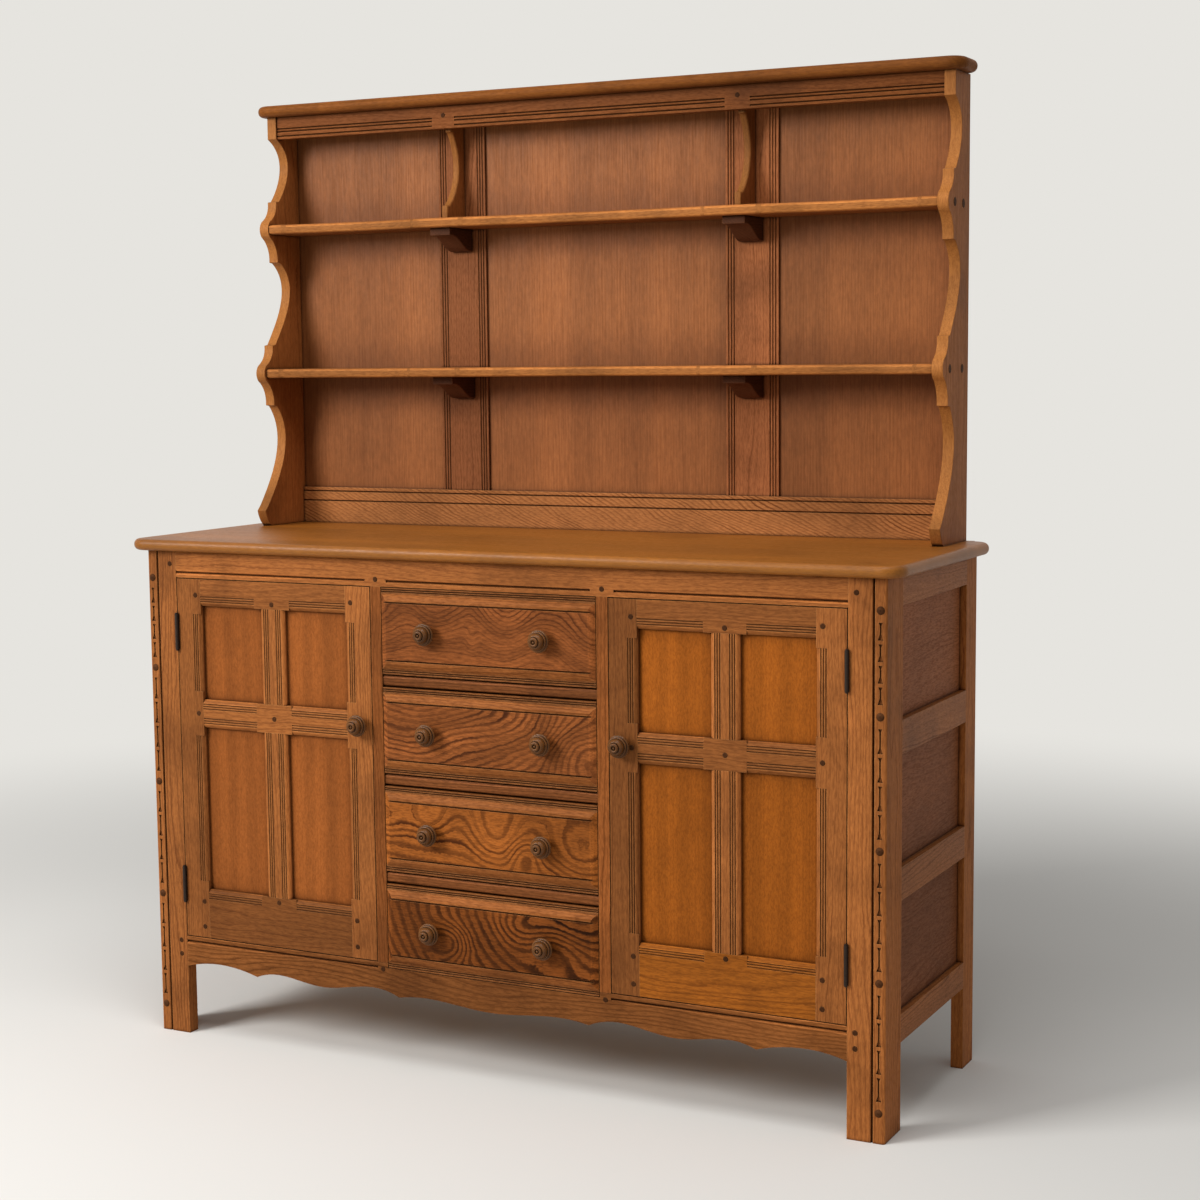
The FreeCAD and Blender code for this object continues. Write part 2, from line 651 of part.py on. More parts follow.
def apron():
    right_outer, right_inner, middle = apron_half_edge()
    left_inner, left_outer = mirrored(right_inner), mirrored(right_outer)
    a, b = vec(-STILE_INNER, 0, APRON_END), vec(STILE_INNER, 0, APRON_END)
    top_a, top_b = vec(-STILE_INNER, 0, APRON_TOP), vec(STILE_INNER, 0, APRON_TOP)
    edges = [line(a, top_a), line(top_a, top_b), line(top_b, b)]
    edges += [right_outer, right_inner, middle, left_inner, left_outer]
    face = Part.Face(Part.Wire(Part.__sortEdges__(edges)))
    board = face.extrude(vec(0, FRAME_THICK, 0))
    board = joined(board, both(block(*APRON_TENON)))
    tools = both(grown(MUNTIN_LOW_TENON)) + [grown(FLOOR_FRONT_TONGUE)] + peg_holes(FRAME_PEGS, 0)
    tools.append(block(-DRAWER_HALF, DRAWER_HALF, -FIT, FRAME_THICK + FIT, DRAWER_FLOOR, APRON_TOP + FIT))
    bead = APRON_TOP - RAIL_BEAD
    tools += both(rail_groove(MUNTIN_OUTER, STILE_INNER, bead))
    return cut(board, tools)


# Inside the base: floor, partitions, cupboard shelves on cleats, drawer runners and stops


def base_floor():
    board = block(-END_INNER, END_INNER, FRAME_THICK, BACK_RAIL_FACE, DRAWER_FLOOR - FLOOR_THICK, DRAWER_FLOOR)
    return joined(board, both(block(*FLOOR_SIDE_TONGUE)) + [block(*FLOOR_FRONT_TONGUE)])


def partition():
    board = block(DRAWER_HALF, DRAWER_HALF + PARTITION_THICK, FRAME_THICK, BACK_RAIL_FACE,
                  DRAWER_FLOOR, CARCASS_TOP)
    return joined(board, [block(*PARTITION_TONGUE)])


SHELF_IN = DRAWER_HALF + PARTITION_THICK
SHELF_FRONT = FRAME_THICK + DOOR_STOP
CLEAT_TOP = CUPBOARD_SHELF_TOP - SHELF_THICK


def cupboard_shelf():
    return block(SHELF_IN + FIT, END_INNER - FIT, SHELF_FRONT, BACK_RAIL_FACE, CLEAT_TOP, CUPBOARD_SHELF_TOP)


def shelf_cleats():
    inner = block(SHELF_IN, SHELF_IN + CLEAT, SHELF_FRONT, BACK_RAIL_FACE, CLEAT_TOP - CLEAT, CLEAT_TOP)
    outer = block(END_INNER - CLEAT, END_INNER, SHELF_FRONT, BACK_RAIL_FACE, CLEAT_TOP - CLEAT, CLEAT_TOP)
    return both(inner) + both(outer)


RUNNER_FRONT = DRAWER_RAIL_SETBACK + DRAWER_RAIL_DEPTH


def drawer_runners():
    """A runner behind each drawer rail, and a kicker over the top drawer, on both partitions."""
    pieces = []
    for index in RAIL_INDEXES:
        top = drawer_base(index)
        pieces += both(block(DRAWER_HALF - RUNNER_WIDTH, DRAWER_HALF, RUNNER_FRONT, BACK_RAIL_FACE,
                             top - DRAWER_RAIL, top))
    pieces += both(block(DRAWER_HALF - RUNNER_WIDTH, DRAWER_HALF, FRAME_THICK, BACK_RAIL_FACE,
                         OPENING_TOP, OPENING_TOP + KICKER))
    return pieces


STOP_Y = DRAWER_FRONT + STOP_GAP


def drawer_stops():
    """Low blocks behind each drawer front, under the drawer's bottom."""
    pieces = []
    for index in range(DRAWER_COUNT):
        base = drawer_base(index)
        end = STOP_Y + (STOP_LENGTH if index == DRAWER_COUNT - 1 else RUNNER_FRONT - STOP_Y)
        start = max(STOP_Y, FRAME_THICK) if index == DRAWER_COUNT - 1 else STOP_Y
        pieces += both(block(STOP_X - STOP_WIDTH / 2, STOP_X + STOP_WIDTH / 2, start, end,
                             base, base + STOP_HEIGHT))
    return pieces


def door_stops():
    """Blocks on the backs of the muntins that a closed door rests against."""
    pieces = []
    for z in HINGE_BOTTOMS:
        pieces += both(block(SHELF_IN, MUNTIN_OUTER + DOOR_STOP, FRAME_THICK, FRAME_THICK + DOOR_STOP,
                             z, z + DOOR_STOP_HEIGHT))
    return pieces


# Counter and cornice: boards with a rounded edge and rounded corners


def rounded_board(half, front, back, bottom, top, corner_r, edge_r):
    """A board rounded in plan at its corners and rounded over along its edges, but square along its back."""
    board = block(-half, half, front, back, bottom, top)
    board = board.makeFillet(corner_r, [e for e in board.Edges if e.BoundBox.ZLength > (top - bottom) / 2])
    board = board.makeFillet(edge_r, [e for e in board.Edges if e.BoundBox.ZLength < FIT])
    straight = half - corner_r
    return joined(board, [block(-straight, straight, back - edge_r, back, bottom, top)])


def counter_top():
    return rounded_board(COUNTER_WIDTH / 2, -COUNTER_FRONT_OVERHANG, BODY_DEPTH, CARCASS_TOP, COUNTER_TOP,
                         COUNTER_CORNER_R, min(BOARD_EDGE_R, COUNTER_THICK / 2 - FIT))


def cornice():
    board = rounded_board(RACK_OUTER + CORNICE_OVERHANG, RACK_BACK - CORNICE_DEPTH, RACK_BACK, RACK_TOP,
                          RACK_TOP + CORNICE_THICK, CORNICE_CORNER_R, min(BOARD_EDGE_R, CORNICE_THICK / 2 - FIT))
    return cut(board, both(grown(RACK_END_TENON)))


# Plate rack ends: shaped boards with a lobe at each shelf


def lobe(reach, z):
    """Points of one lobe, from its upper step to its lower step, as (reach, height)."""
    side = reach - LOBE_SIDE_DROP
    nose = reach - LOBE_NOSE_DROP
    return [(side - LOBE_STEP, z + LOBE_UPPER + LOBE_STEP_RISE), (side, z + LOBE_UPPER), (nose, z + LOBE_NOSE),
            (reach, z), (nose, z - LOBE_NOSE), (side, z - LOBE_LOWER),
            (side - LOBE_STEP, z - LOBE_LOWER - LOBE_STEP_RISE)]


def hollow(start, end, deepest, share):
    """A hollow curve between two steps; share is how far down its deepest point lies."""
    (r0, z0), (r1, z1) = start, end
    z_deep = z0 + (z1 - z0) * share
    z_low = z_deep + (z1 - z_deep) * HOLLOW_BEND_AT
    return [start, (deepest, z_deep), (deepest + (r1 - deepest) * HOLLOW_BEND, z_low), end]


def rack_end_outline(x):
    """The outline of a rack end as a face in the plane at x."""
    def at(point):
        reach, z = point
        return vec(x, RACK_BACK - reach, z)

    def lobe_side(corner, nose):
        bend = corner + (nose - corner) * LOBE_BEND
        return vec(x, bend.y, corner.z + (nose.z - corner.z) * LOBE_BEND_AT)

    def lobe_edges(points):
        p = [at(point) for point in points]
        return [line(p[0], p[1]), curve([p[1], lobe_side(p[1], p[2]), p[2]]), arc(p[2], p[3], p[4]),
                curve([p[4], lobe_side(p[5], p[4]), p[5]]), line(p[5], p[6])]

    upper = lobe(UPPER_LOBE_REACH, UPPER_SHELF_TOP - RACK_SHELF_THICK / 2)
    lower = lobe(LOWER_LOBE_REACH, LOWER_SHELF_TOP - RACK_SHELF_THICK / 2)
    top = (END_TOP_REACH, RACK_TOP)
    shoulder = (END_TOP_REACH, RACK_TOP - FRIEZE)
    toe = (TOE_REACH, COUNTER_TOP + TOE_HEIGHT)
    heel = (TOE_REACH - LOBE_STEP, COUNTER_TOP + TOE_HEIGHT + LOBE_STEP)
    toe_under = (TOE_REACH - TOE_ROUND, COUNTER_TOP + TOE_HEIGHT / 2)
    foot = (FOOT_REACH, COUNTER_TOP)
    edges = [line(at(top), at(shoulder))]
    edges.append(curve([at(p) for p in hollow(shoulder, upper[0], END_TOP_HOLLOW, TOP_HOLLOW_AT)]))
    edges += lobe_edges(upper)
    edges.append(curve([at(p) for p in hollow(upper[6], lower[0], MIDDLE_HOLLOW, MIDDLE_HOLLOW_AT)]))
    edges += lobe_edges(lower)
    edges.append(curve([at(p) for p in hollow(lower[6], heel, LOWER_HOLLOW, LOWER_HOLLOW_AT)]))
    edges.append(line(at(heel), at(toe)))
    edges.append(arc(at(toe), at(toe_under), at(foot)))
    edges.append(line(at(foot), vec(x, RACK_BACK, COUNTER_TOP)))
    edges.append(line(vec(x, RACK_BACK, COUNTER_TOP), vec(x, RACK_BACK, RACK_TOP)))
    edges.append(line(vec(x, RACK_BACK, RACK_TOP), at(top)))
    return Part.Face(Part.Wire(edges))


SHELVES = ((UPPER_SHELF_TOP, UPPER_SHELF_DEPTH), (LOWER_SHELF_TOP, LOWER_SHELF_DEPTH))
RACK_END_TENON = (RACK_INNER + RACK_END_THICK / 4, RACK_OUTER - RACK_END_THICK / 4,
                  FRIEZE_FACE + FRIEZE_THICK, RACK_PANEL_FACE - RACK_PANEL_THICK, RACK_TOP, RACK_TOP + STUB)
FRIEZE_TONGUE = (RACK_INNER, RACK_INNER + HOUSING, FRIEZE_FACE + FRIEZE_THICK / 4, FRIEZE_FACE + FRIEZE_THICK,
                 RACK_TOP - FRIEZE + TENON_SHOULDER, RACK_TOP)
FOOT_RAIL_TONGUE = (RACK_INNER, RACK_INNER + HOUSING, RACK_BACK - RACK_FOOT_RAIL_THICK, RACK_BACK,
                    COUNTER_TOP, RACK_FOOT_TOP)
RACK_MUNTIN_IN = DIVIDER_X - RACK_MUNTIN / 2
RACK_MUNTIN_OUT = DIVIDER_X + RACK_MUNTIN / 2
RACK_PANEL_BOTTOM = RACK_FOOT_TOP - PANEL_TONGUE
MIDDLE_PANEL = (-RACK_MUNTIN_IN - PANEL_TONGUE, RACK_MUNTIN_IN + PANEL_TONGUE, RACK_PANEL_FACE,
                RACK_PANEL_FACE + RACK_PANEL_THICK, RACK_PANEL_BOTTOM, RACK_TOP)
SIDE_PANEL = (RACK_MUNTIN_OUT - PANEL_TONGUE, RACK_INNER + PANEL_TONGUE, RACK_PANEL_FACE,
              RACK_PANEL_FACE + RACK_PANEL_THICK, RACK_PANEL_BOTTOM, RACK_TOP)
RACK_MUNTIN_TENON = (RACK_MUNTIN_IN + TENON_SHOULDER * 3, RACK_MUNTIN_OUT - TENON_SHOULDER * 3, RACK_PANEL_FACE,
                     RACK_PANEL_FACE + RACK_PANEL_THICK, RACK_FOOT_TOP - STUB, RACK_FOOT_TOP)


def shelf_tongue(top, depth):
    """The end of a shelf in its stopped housing."""
    return (RACK_INNER, RACK_INNER + HOUSING, RACK_BACK - depth + SHELF_STOP, RACK_MUNTIN_FACE,
            top - RACK_SHELF_THICK, top)


def plug_places():
    """Two plugs over the fixings at each shelf, as (y, z)."""
    places = []
    for top, depth in SHELVES:
        middle = top - RACK_SHELF_THICK / 2
        front = RACK_BACK - depth + SHELF_STOP + SHELF_STOP + PLUG_R
        places += [(front, middle), (RACK_MUNTIN_FACE - SHELF_STOP - PLUG_R, middle)]
    return places


def rack_end():
    board = rack_end_outline(RACK_INNER).extrude(vec(RACK_END_THICK, 0, 0))
    board = joined(board, [block(*RACK_END_TENON)])
    housings = [shelf_tongue(top, depth) for top, depth in SHELVES]
    tools = [grown(c) for c in housings + [FRIEZE_TONGUE, FOOT_RAIL_TONGUE, SIDE_PANEL]]
    tools += [rod_x(y, z, PLUG_R + FIT, RACK_OUTER - PLUG_DEPTH - FIT, RACK_OUTER + FIT) for y, z in plug_places()]
    return cut(board, tools)


def end_plugs():
    plugs = []
    for y, z in plug_places():
        plugs += both(rod_x(y, z, PLUG_R, RACK_OUTER - PLUG_DEPTH, RACK_OUTER + PEG_PROUD / 2))
    return plugs


def shelf_front_edges(depth, z):
    """Front edge of a shelf from left to right: flat pads on ramps with shallow hollows between."""
    pad_y = RACK_BACK - depth
    step_y = pad_y + SHELF_STEP
    deep_y = step_y + SHELF_SCALLOP
    pad_in = DIVIDER_X - SHELF_PAD / 2
    pad_out = DIVIDER_X + SHELF_PAD / 2
    end_pad = RACK_INNER - SHELF_END_PAD
    ramp_in = pad_in - SHELF_RAMP
    ramp_out = pad_out + SHELF_RAMP
    ramp_end = end_pad - SHELF_RAMP
    bay = (ramp_out + ramp_end) / 2
    right = [line(vec(ramp_in, step_y, z), vec(pad_in, pad_y, z)),
             line(vec(pad_in, pad_y, z), vec(pad_out, pad_y, z)),
             line(vec(pad_out, pad_y, z), vec(ramp_out, step_y, z)),
             arc(vec(ramp_out, step_y, z), vec(bay, deep_y, z), vec(ramp_end, step_y, z)),
             line(vec(ramp_end, step_y, z), vec(end_pad, pad_y, z)),
             line(vec(end_pad, pad_y, z), vec(RACK_INNER, pad_y, z))]
    middle = arc(vec(-ramp_in, step_y, z), vec(0, deep_y, z), vec(ramp_in, step_y, z))
    return right + [mirrored(edge) for edge in right] + [middle]


def rack_shelf(top, depth, divider_tongues):
    z = top - RACK_SHELF_THICK
    front = RACK_BACK - depth
    edges = shelf_front_edges(depth, z)
    right_front, right_back = vec(RACK_INNER, front, z), vec(RACK_INNER, RACK_MUNTIN_FACE, z)
    left_front, left_back = vec(-RACK_INNER, front, z), vec(-RACK_INNER, RACK_MUNTIN_FACE, z)
    edges += [line(right_front, right_back), line(right_back, left_back), line(left_back, left_front)]
    face = Part.Face(Part.Wire(Part.__sortEdges__(edges)))
    board = face.extrude(vec(0, 0, RACK_SHELF_THICK))
    board = joined(board, both(block(*shelf_tongue(top, depth))))
    return cut(board, [grown(c) for c in divider_tongues])


DIVIDER_SIDE = DIVIDER_THICK / 2
DIVIDER_TONGUE = (DIVIDER_X - DIVIDER_SIDE / 2, DIVIDER_X + DIVIDER_SIDE / 2,
                  RACK_BACK - DIVIDER_FOOT_DEPTH + SHELF_STOP, RACK_MUNTIN_FACE - SHELF_STOP,
                  UPPER_SHELF_TOP - HOUSING, UPPER_SHELF_TOP)
DIVIDER_TONGUES = [DIVIDER_TONGUE, (-DIVIDER_TONGUE[1], -DIVIDER_TONGUE[0]) + DIVIDER_TONGUE[2:]]


def rack_divider():
    """An upright above the upper shelf: a stepped foot, a hollow front edge, a stepped head."""
    x = DIVIDER_X - DIVIDER_SIDE
    foot_y = RACK_BACK - DIVIDER_FOOT_DEPTH
    waist_y = RACK_BACK - DIVIDER_WAIST_DEPTH
    foot_z = UPPER_SHELF_TOP + DIVIDER_FOOT
    step_z = foot_z + LOBE_STEP_RISE
    head_z = RACK_TOP - FRIEZE - DIVIDER_HEAD_STEP
    hollow_top = vec(x, DIVIDER_HEAD + DIVIDER_HEAD_STEP, head_z - LOBE_STEP_RISE)
    waist_z = (step_z + head_z) / 2 + DIVIDER_WAIST_RISE
    corners = [vec(x, RACK_MUNTIN_FACE, RACK_TOP), vec(x, RACK_MUNTIN_FACE, UPPER_SHELF_TOP),
               vec(x, foot_y, UPPER_SHELF_TOP), vec(x, foot_y, foot_z),
               vec(x, foot_y + DIVIDER_FOOT_STEP, step_z)]
    edges = [line(a, b) for a, b in zip(corners, corners[1:])]
    edges.append(arc(corners[-1], vec(x, waist_y, waist_z), hollow_top))
    head = [hollow_top, vec(x, DIVIDER_HEAD, head_z), vec(x, DIVIDER_HEAD, RACK_TOP), corners[0]]
    edges += [line(a, b) for a, b in zip(head, head[1:])]
    board = Part.Face(Part.Wire(edges)).extrude(vec(DIVIDER_THICK, 0, 0))
    return joined(board, [block(*DIVIDER_TONGUE)])


def shelf_bracket(shelf_top):
    """A block under a shelf with a plain nose and an S-shaped underside."""
    x = DIVIDER_X - BRACKET_WIDTH / 2
    z = shelf_top - RACK_SHELF_THICK
    nose_y = RACK_BACK - BRACKET_DEPTH
    run = RACK_MUNTIN_FACE - nose_y
    nose_z = z - BRACKET_NOSE
    low_z = z - BRACKET_HEIGHT
    drop = nose_z - low_z
    under = [vec(x, nose_y, nose_z)]
    under += [vec(x, nose_y + run * along, nose_z - drop * down) for along, down in BRACKET_CURVE]
    under.append(vec(x, RACK_MUNTIN_FACE, low_z))
    top_back = vec(x, RACK_MUNTIN_FACE, z)
    top_front = vec(x, nose_y, z)
    edges = [line(top_back, top_front), line(top_front, under[0]), curve(under), line(under[-1], top_back)]
    return Part.Face(Part.Wire(edges)).extrude(vec(BRACKET_WIDTH, 0, 0))


def rack_muntin():
    muntin = block(RACK_MUNTIN_IN, RACK_MUNTIN_OUT, RACK_MUNTIN_FACE, RACK_BACK, RACK_FOOT_TOP, RACK_TOP)
    muntin = joined(muntin, [block(*RACK_MUNTIN_TENON)])
    tools = [grown(MIDDLE_PANEL), grown(SIDE_PANEL)]
    for step in (1, 2, 3):
        inset = step * REED
        for x in (RACK_MUNTIN_IN + inset, RACK_MUNTIN_OUT - inset):
            tools.append(groove_z(RACK_FOOT_TOP, RACK_TOP, RACK_MUNTIN_FACE, x, depth=REED_DEPTH))
    return cut(muntin, tools)


def rack_foot_rail():
    face = RACK_BACK - RACK_FOOT_RAIL_THICK
    rail = block(-RACK_INNER, RACK_INNER, face, RACK_BACK, COUNTER_TOP, RACK_FOOT_TOP)
    rail = joined(rail, both(block(*FOOT_RAIL_TONGUE)))
    tools = [grown(MIDDLE_PANEL)] + both(grown(SIDE_PANEL)) + both(grown(RACK_MUNTIN_TENON))
    for drop in FOOT_RAIL_GROOVES:
        tools.append(groove_x(-RACK_INNER, RACK_INNER, face, RACK_FOOT_TOP - drop))
    return cut(rail, tools)


FRIEZE_PEGS = [(DIVIDER_X, RACK_TOP - FRIEZE_PEG_DROP), (-DIVIDER_X, RACK_TOP - FRIEZE_PEG_DROP)]


def frieze():
    bottom = RACK_TOP - FRIEZE
    board = block(-RACK_INNER, RACK_INNER, FRIEZE_FACE, FRIEZE_FACE + FRIEZE_THICK, bottom, RACK_TOP)
    board = joined(board, both(block(*FRIEZE_TONGUE)))
    tools = peg_holes(FRIEZE_PEGS, FRIEZE_FACE)
    block_in = DIVIDER_X - FRIEZE_BLOCK / 2
    block_out = DIVIDER_X + FRIEZE_BLOCK / 2
    for rise in FRIEZE_GROOVES:
        z = bottom + rise
        tools.append(groove_x(-block_in, block_in, FRIEZE_FACE, z))
        tools += both(groove_x(block_out, RACK_INNER, FRIEZE_FACE, z))
    return cut(board, tools)


# Doors: framed and panelled, the right one drawn and the left one its mirror image

DOOR_PANEL_IN = DOOR_IN + DOOR_STILE
DOOR_PANEL_OUT = DOOR_OUT - DOOR_STILE
DOOR_MUNTIN_IN = DOOR_MIDDLE - DOOR_MUNTIN / 2
DOOR_MUNTIN_OUT = DOOR_MIDDLE + DOOR_MUNTIN / 2
DOOR_TENON = DOOR_STILE - DOOR_TENON_WALL
DOOR_TENON_Y0 = (DOOR_THICK - TENON_THICK) / 2
DOOR_TENON_Y1 = DOOR_TENON_Y0 + TENON_THICK
DOOR_LOCK_TOP = DOOR_LOCK_BOTTOM + DOOR_LOCK_RAIL
DOOR_PANEL_BOTTOM = DOOR_BOTTOM + DOOR_BOTTOM_RAIL
DOOR_PANEL_TOP = DOOR_TOP - DOOR_TOP_RAIL
DOOR_RAIL_SPANS = ((DOOR_BOTTOM, DOOR_PANEL_BOTTOM), (DOOR_LOCK_BOTTOM, DOOR_LOCK_TOP), (DOOR_PANEL_TOP, DOOR_TOP))
DOOR_BAYS = ((DOOR_PANEL_BOTTOM, DOOR_LOCK_BOTTOM), (DOOR_LOCK_TOP, DOOR_PANEL_TOP))
DOOR_PANEL_Y1 = DOOR_PANEL_RECESS + PANEL_THICK
DOOR_PEG_IN = DOOR_PANEL_IN - DOOR_TENON / 3
DOOR_PEG_OUT = DOOR_PANEL_OUT + DOOR_TENON / 3
KNOB_X = DOOR_IN + DOOR_KNOB_INSET


def door_panels():
    """Corners of the four panels of a door, tongues included."""
    corners = []
    for low, high in DOOR_BAYS:
        for x0, x1 in ((DOOR_PANEL_IN, DOOR_MUNTIN_IN), (DOOR_MUNTIN_OUT, DOOR_PANEL_OUT)):
            corners.append((x0 - PANEL_TONGUE, x1 + PANEL_TONGUE, DOOR_PANEL_RECESS, DOOR_PANEL_Y1,
                            low - PANEL_TONGUE, high + PANEL_TONGUE))
    return corners


def door_rail_tenons(span):
    z0, z1 = span
    inner = (DOOR_PANEL_IN - DOOR_TENON, DOOR_PANEL_IN)
    outer = (DOOR_PANEL_OUT, DOOR_PANEL_OUT + DOOR_TENON)
    return [(x0, x1, DOOR_TENON_Y0, DOOR_TENON_Y1, z0 + STUB, z1 - STUB) for x0, x1 in (inner, outer)]


def door_muntin_tenons(bay):
    low, high = bay
    x0, x1 = DOOR_MUNTIN_IN + TENON_SHOULDER * 2, DOOR_MUNTIN_OUT - TENON_SHOULDER * 2
    return [(x0, x1, DOOR_TENON_Y0, DOOR_TENON_Y1, low - STUB * 2, low),
            (x0, x1, DOOR_TENON_Y0, DOOR_TENON_Y1, high, high + STUB * 2)]


DOOR_PANELS = door_panels()
DOOR_RAIL_TENONS = [corners for span in DOOR_RAIL_SPANS for corners in door_rail_tenons(span)]
DOOR_MUNTIN_TENONS = [corners for bay in DOOR_BAYS for corners in door_muntin_tenons(bay)]


def door_peg_places():
    """Pegs through the rail tenons in both stiles and through the muntin tenons."""
    places = []
    top_z = DOOR_TOP - DOOR_PEG_TOP_DROP
    lock_z = (DOOR_LOCK_BOTTOM + DOOR_LOCK_TOP) / 2
    low_z = DOOR_BOTTOM + DOOR_PEG_LOW_RISE
    high_z = DOOR_PANEL_BOTTOM - DOOR_PEG_HIGH_DROP
    for z in (top_z, lock_z, low_z, high_z):
        places += [(DOOR_PEG_IN, z), (DOOR_PEG_OUT, z)]
    muntin_heights = (DOOR_PANEL_TOP + STUB, lock_z, DOOR_PANEL_BOTTOM - STUB)
    return places + [(DOOR_MIDDLE, z) for z in muntin_heights]


DOOR_PEGS = door_peg_places()


def edge_waste(edge, direction, place, run):
    """What is cut away to leave a round band along a moulded edge.

    place turns a distance along the face and a depth into a point, and run is the length of the cut."""
    inner = edge + direction * EDGE_BAND
    outer = edge - direction * EDGE_DROP
    corners = [place(inner, 0), place(inner, -EDGE_DROP), place(outer, -EDGE_DROP), place(outer, EDGE_DROP),
               place(edge, EDGE_DROP)]
    crown = place((inner + edge) / 2, EDGE_DROP * EDGE_BULGE)
    edges = [line(a, b) for a, b in zip(corners, corners[1:])]
    edges.append(arc(corners[-1], crown, corners[0]))
    return Part.Face(Part.Wire(edges)).extrude(run)


def reed_places(edge, direction):
    """Where the grooves beside a round band run: one along it and one after each reed."""
    return [edge + direction * (EDGE_BAND + step * EDGE_BEAD) for step in range(EDGE_REEDS + 1)]


def moulding_z(edge, direction, z0, z1):
    """A round band along an upright edge, with reeds beside it."""
    band = edge_waste(edge, direction, lambda x, y: vec(x, y, z0), vec(0, 0, z1 - z0))
    places = reed_places(edge, direction)
    return [band] + [groove_z(z0, z1, 0, x, EDGE_GROOVE, EDGE_GROOVE_DEPTH) for x in places]


def moulding_x(edge, direction, x0, x1):
    """The same moulding along a level edge."""
    band = edge_waste(edge, direction, lambda z, y: vec(x0, y, z), vec(x1 - x0, 0, 0))
    places = reed_places(edge, direction)
    return [band] + [groove_x(x0, x1, 0, z, EDGE_GROOVE, EDGE_GROOVE_DEPTH) for z in places]


def door_knob_hole():
    return rod_y(KNOB_X, DOOR_KNOB_HEIGHT, KNOB_SPIGOT_R + FIT, -FIT, KNOB_SPIGOT + FIT)


def door_stile(x0, panel_edge, direction):
    stile = block(x0, x0 + DOOR_STILE, 0, DOOR_THICK, DOOR_BOTTOM, DOOR_TOP)
    tools = [grown(c) for c in DOOR_RAIL_TENONS + DOOR_PANELS] + peg_holes(DOOR_PEGS, 0)
    for low, high in DOOR_BAYS:
        tools += moulding_z(panel_edge, direction, low + EDGE_STOP, high - EDGE_STOP)
    tools += [grown(hinge_leaf_plate(DOOR_OUT - HINGE_LEAF, DOOR_OUT, z)) for z in HINGE_BOTTOMS]
    return cut(stile, tools + [door_knob_hole()])


def door_stiles():
    return [door_stile(DOOR_IN, DOOR_PANEL_IN, -1), door_stile(DOOR_PANEL_OUT, DOOR_PANEL_OUT, 1)]


def door_rail(span, edges):
    """A rail with mouldings along the edges beside panels, left plain for a stretch at the muntin."""
    z0, z1 = span
    rail = block(DOOR_PANEL_IN, DOOR_PANEL_OUT, 0, DOOR_THICK, z0, z1)
    rail = joined(rail, [block(*c) for c in door_rail_tenons(span)])
    tools = [grown(c) for c in DOOR_MUNTIN_TENONS + DOOR_PANELS] + peg_holes(DOOR_PEGS, 0)
    for edge, direction in edges:
        tools += moulding_x(edge, direction, DOOR_PANEL_IN - FIT, DOOR_MIDDLE - EDGE_BLOCK)
        tools += moulding_x(edge, direction, DOOR_MIDDLE + EDGE_BLOCK, DOOR_PANEL_OUT + FIT)
    return cut(rail, tools + [door_knob_hole()])


def door_rails():
    bottom, lock, top = DOOR_RAIL_SPANS
    return [door_rail(bottom, [(bottom[1], -1)]),
            door_rail(lock, [(lock[0], 1), (lock[1], -1)]),
            door_rail(top, [(top[0], 1)])]


def door_muntin(bay):
    low, high = bay
    muntin = block(DOOR_MUNTIN_IN, DOOR_MUNTIN_OUT, 0, DOOR_THICK, low, high)
    muntin = joined(muntin, [block(*c) for c in door_muntin_tenons(bay)])
    tools = [grown(c) for c in DOOR_PANELS] + peg_holes(DOOR_PEGS, 0)
    tools += moulding_z(DOOR_MUNTIN_IN, 1, low, high) + moulding_z(DOOR_MUNTIN_OUT, -1, low, high)
    return cut(muntin, tools)


# Butt hinges: a frame leaf with the end knuckles, a door leaf with the middle one, and a pin

KNUCKLE = HINGE_HEIGHT / 3


def hinge_leaf(inner, outer, z, zones, bore_r):
    plate = block(inner, outer, 0, HINGE_LEAF_WIDTH, z, z + HINGE_HEIGHT)
    extras = []
    for z0, z1 in zones:
        extras.append(block(inner, outer, HINGE_Y, 0, z0, z1))
        extras.append(rod_z(HINGE_X, HINGE_Y, KNUCKLE_R, z0, z1))
    bore = rod_z(HINGE_X, HINGE_Y, bore_r, z - FIT, z + HINGE_HEIGHT + FIT)
    return cut(joined(plate, extras), [bore])


def frame_leaf(z):
    zones = ((z, z + KNUCKLE - KNUCKLE_CLEAR), (z + 2 * KNUCKLE + KNUCKLE_CLEAR, z + HINGE_HEIGHT))
    return hinge_leaf(STILE_INNER, STILE_INNER + HINGE_LEAF, z, zones, HINGE_PIN_R + PIN_CLEAR / 2)


def door_leaf(z):
    return hinge_leaf(DOOR_OUT - HINGE_LEAF, DOOR_OUT, z, ((z + KNUCKLE, z + 2 * KNUCKLE),), HINGE_PIN_R + PIN_CLEAR)


def hinge_pin(z):
    pin = rod_z(HINGE_X, HINGE_Y, HINGE_PIN_R, z, z + HINGE_HEIGHT)
    head_r = (KNUCKLE_R + HINGE_PIN_R) / 2
    heads = [rod_z(HINGE_X, HINGE_Y, head_r, z - PIN_HEAD, z),
             rod_z(HINGE_X, HINGE_Y, head_r, z + HINGE_HEIGHT, z + HINGE_HEIGHT + PIN_HEAD)]
    return joined(pin, heads)


# Turned knobs on a spigot


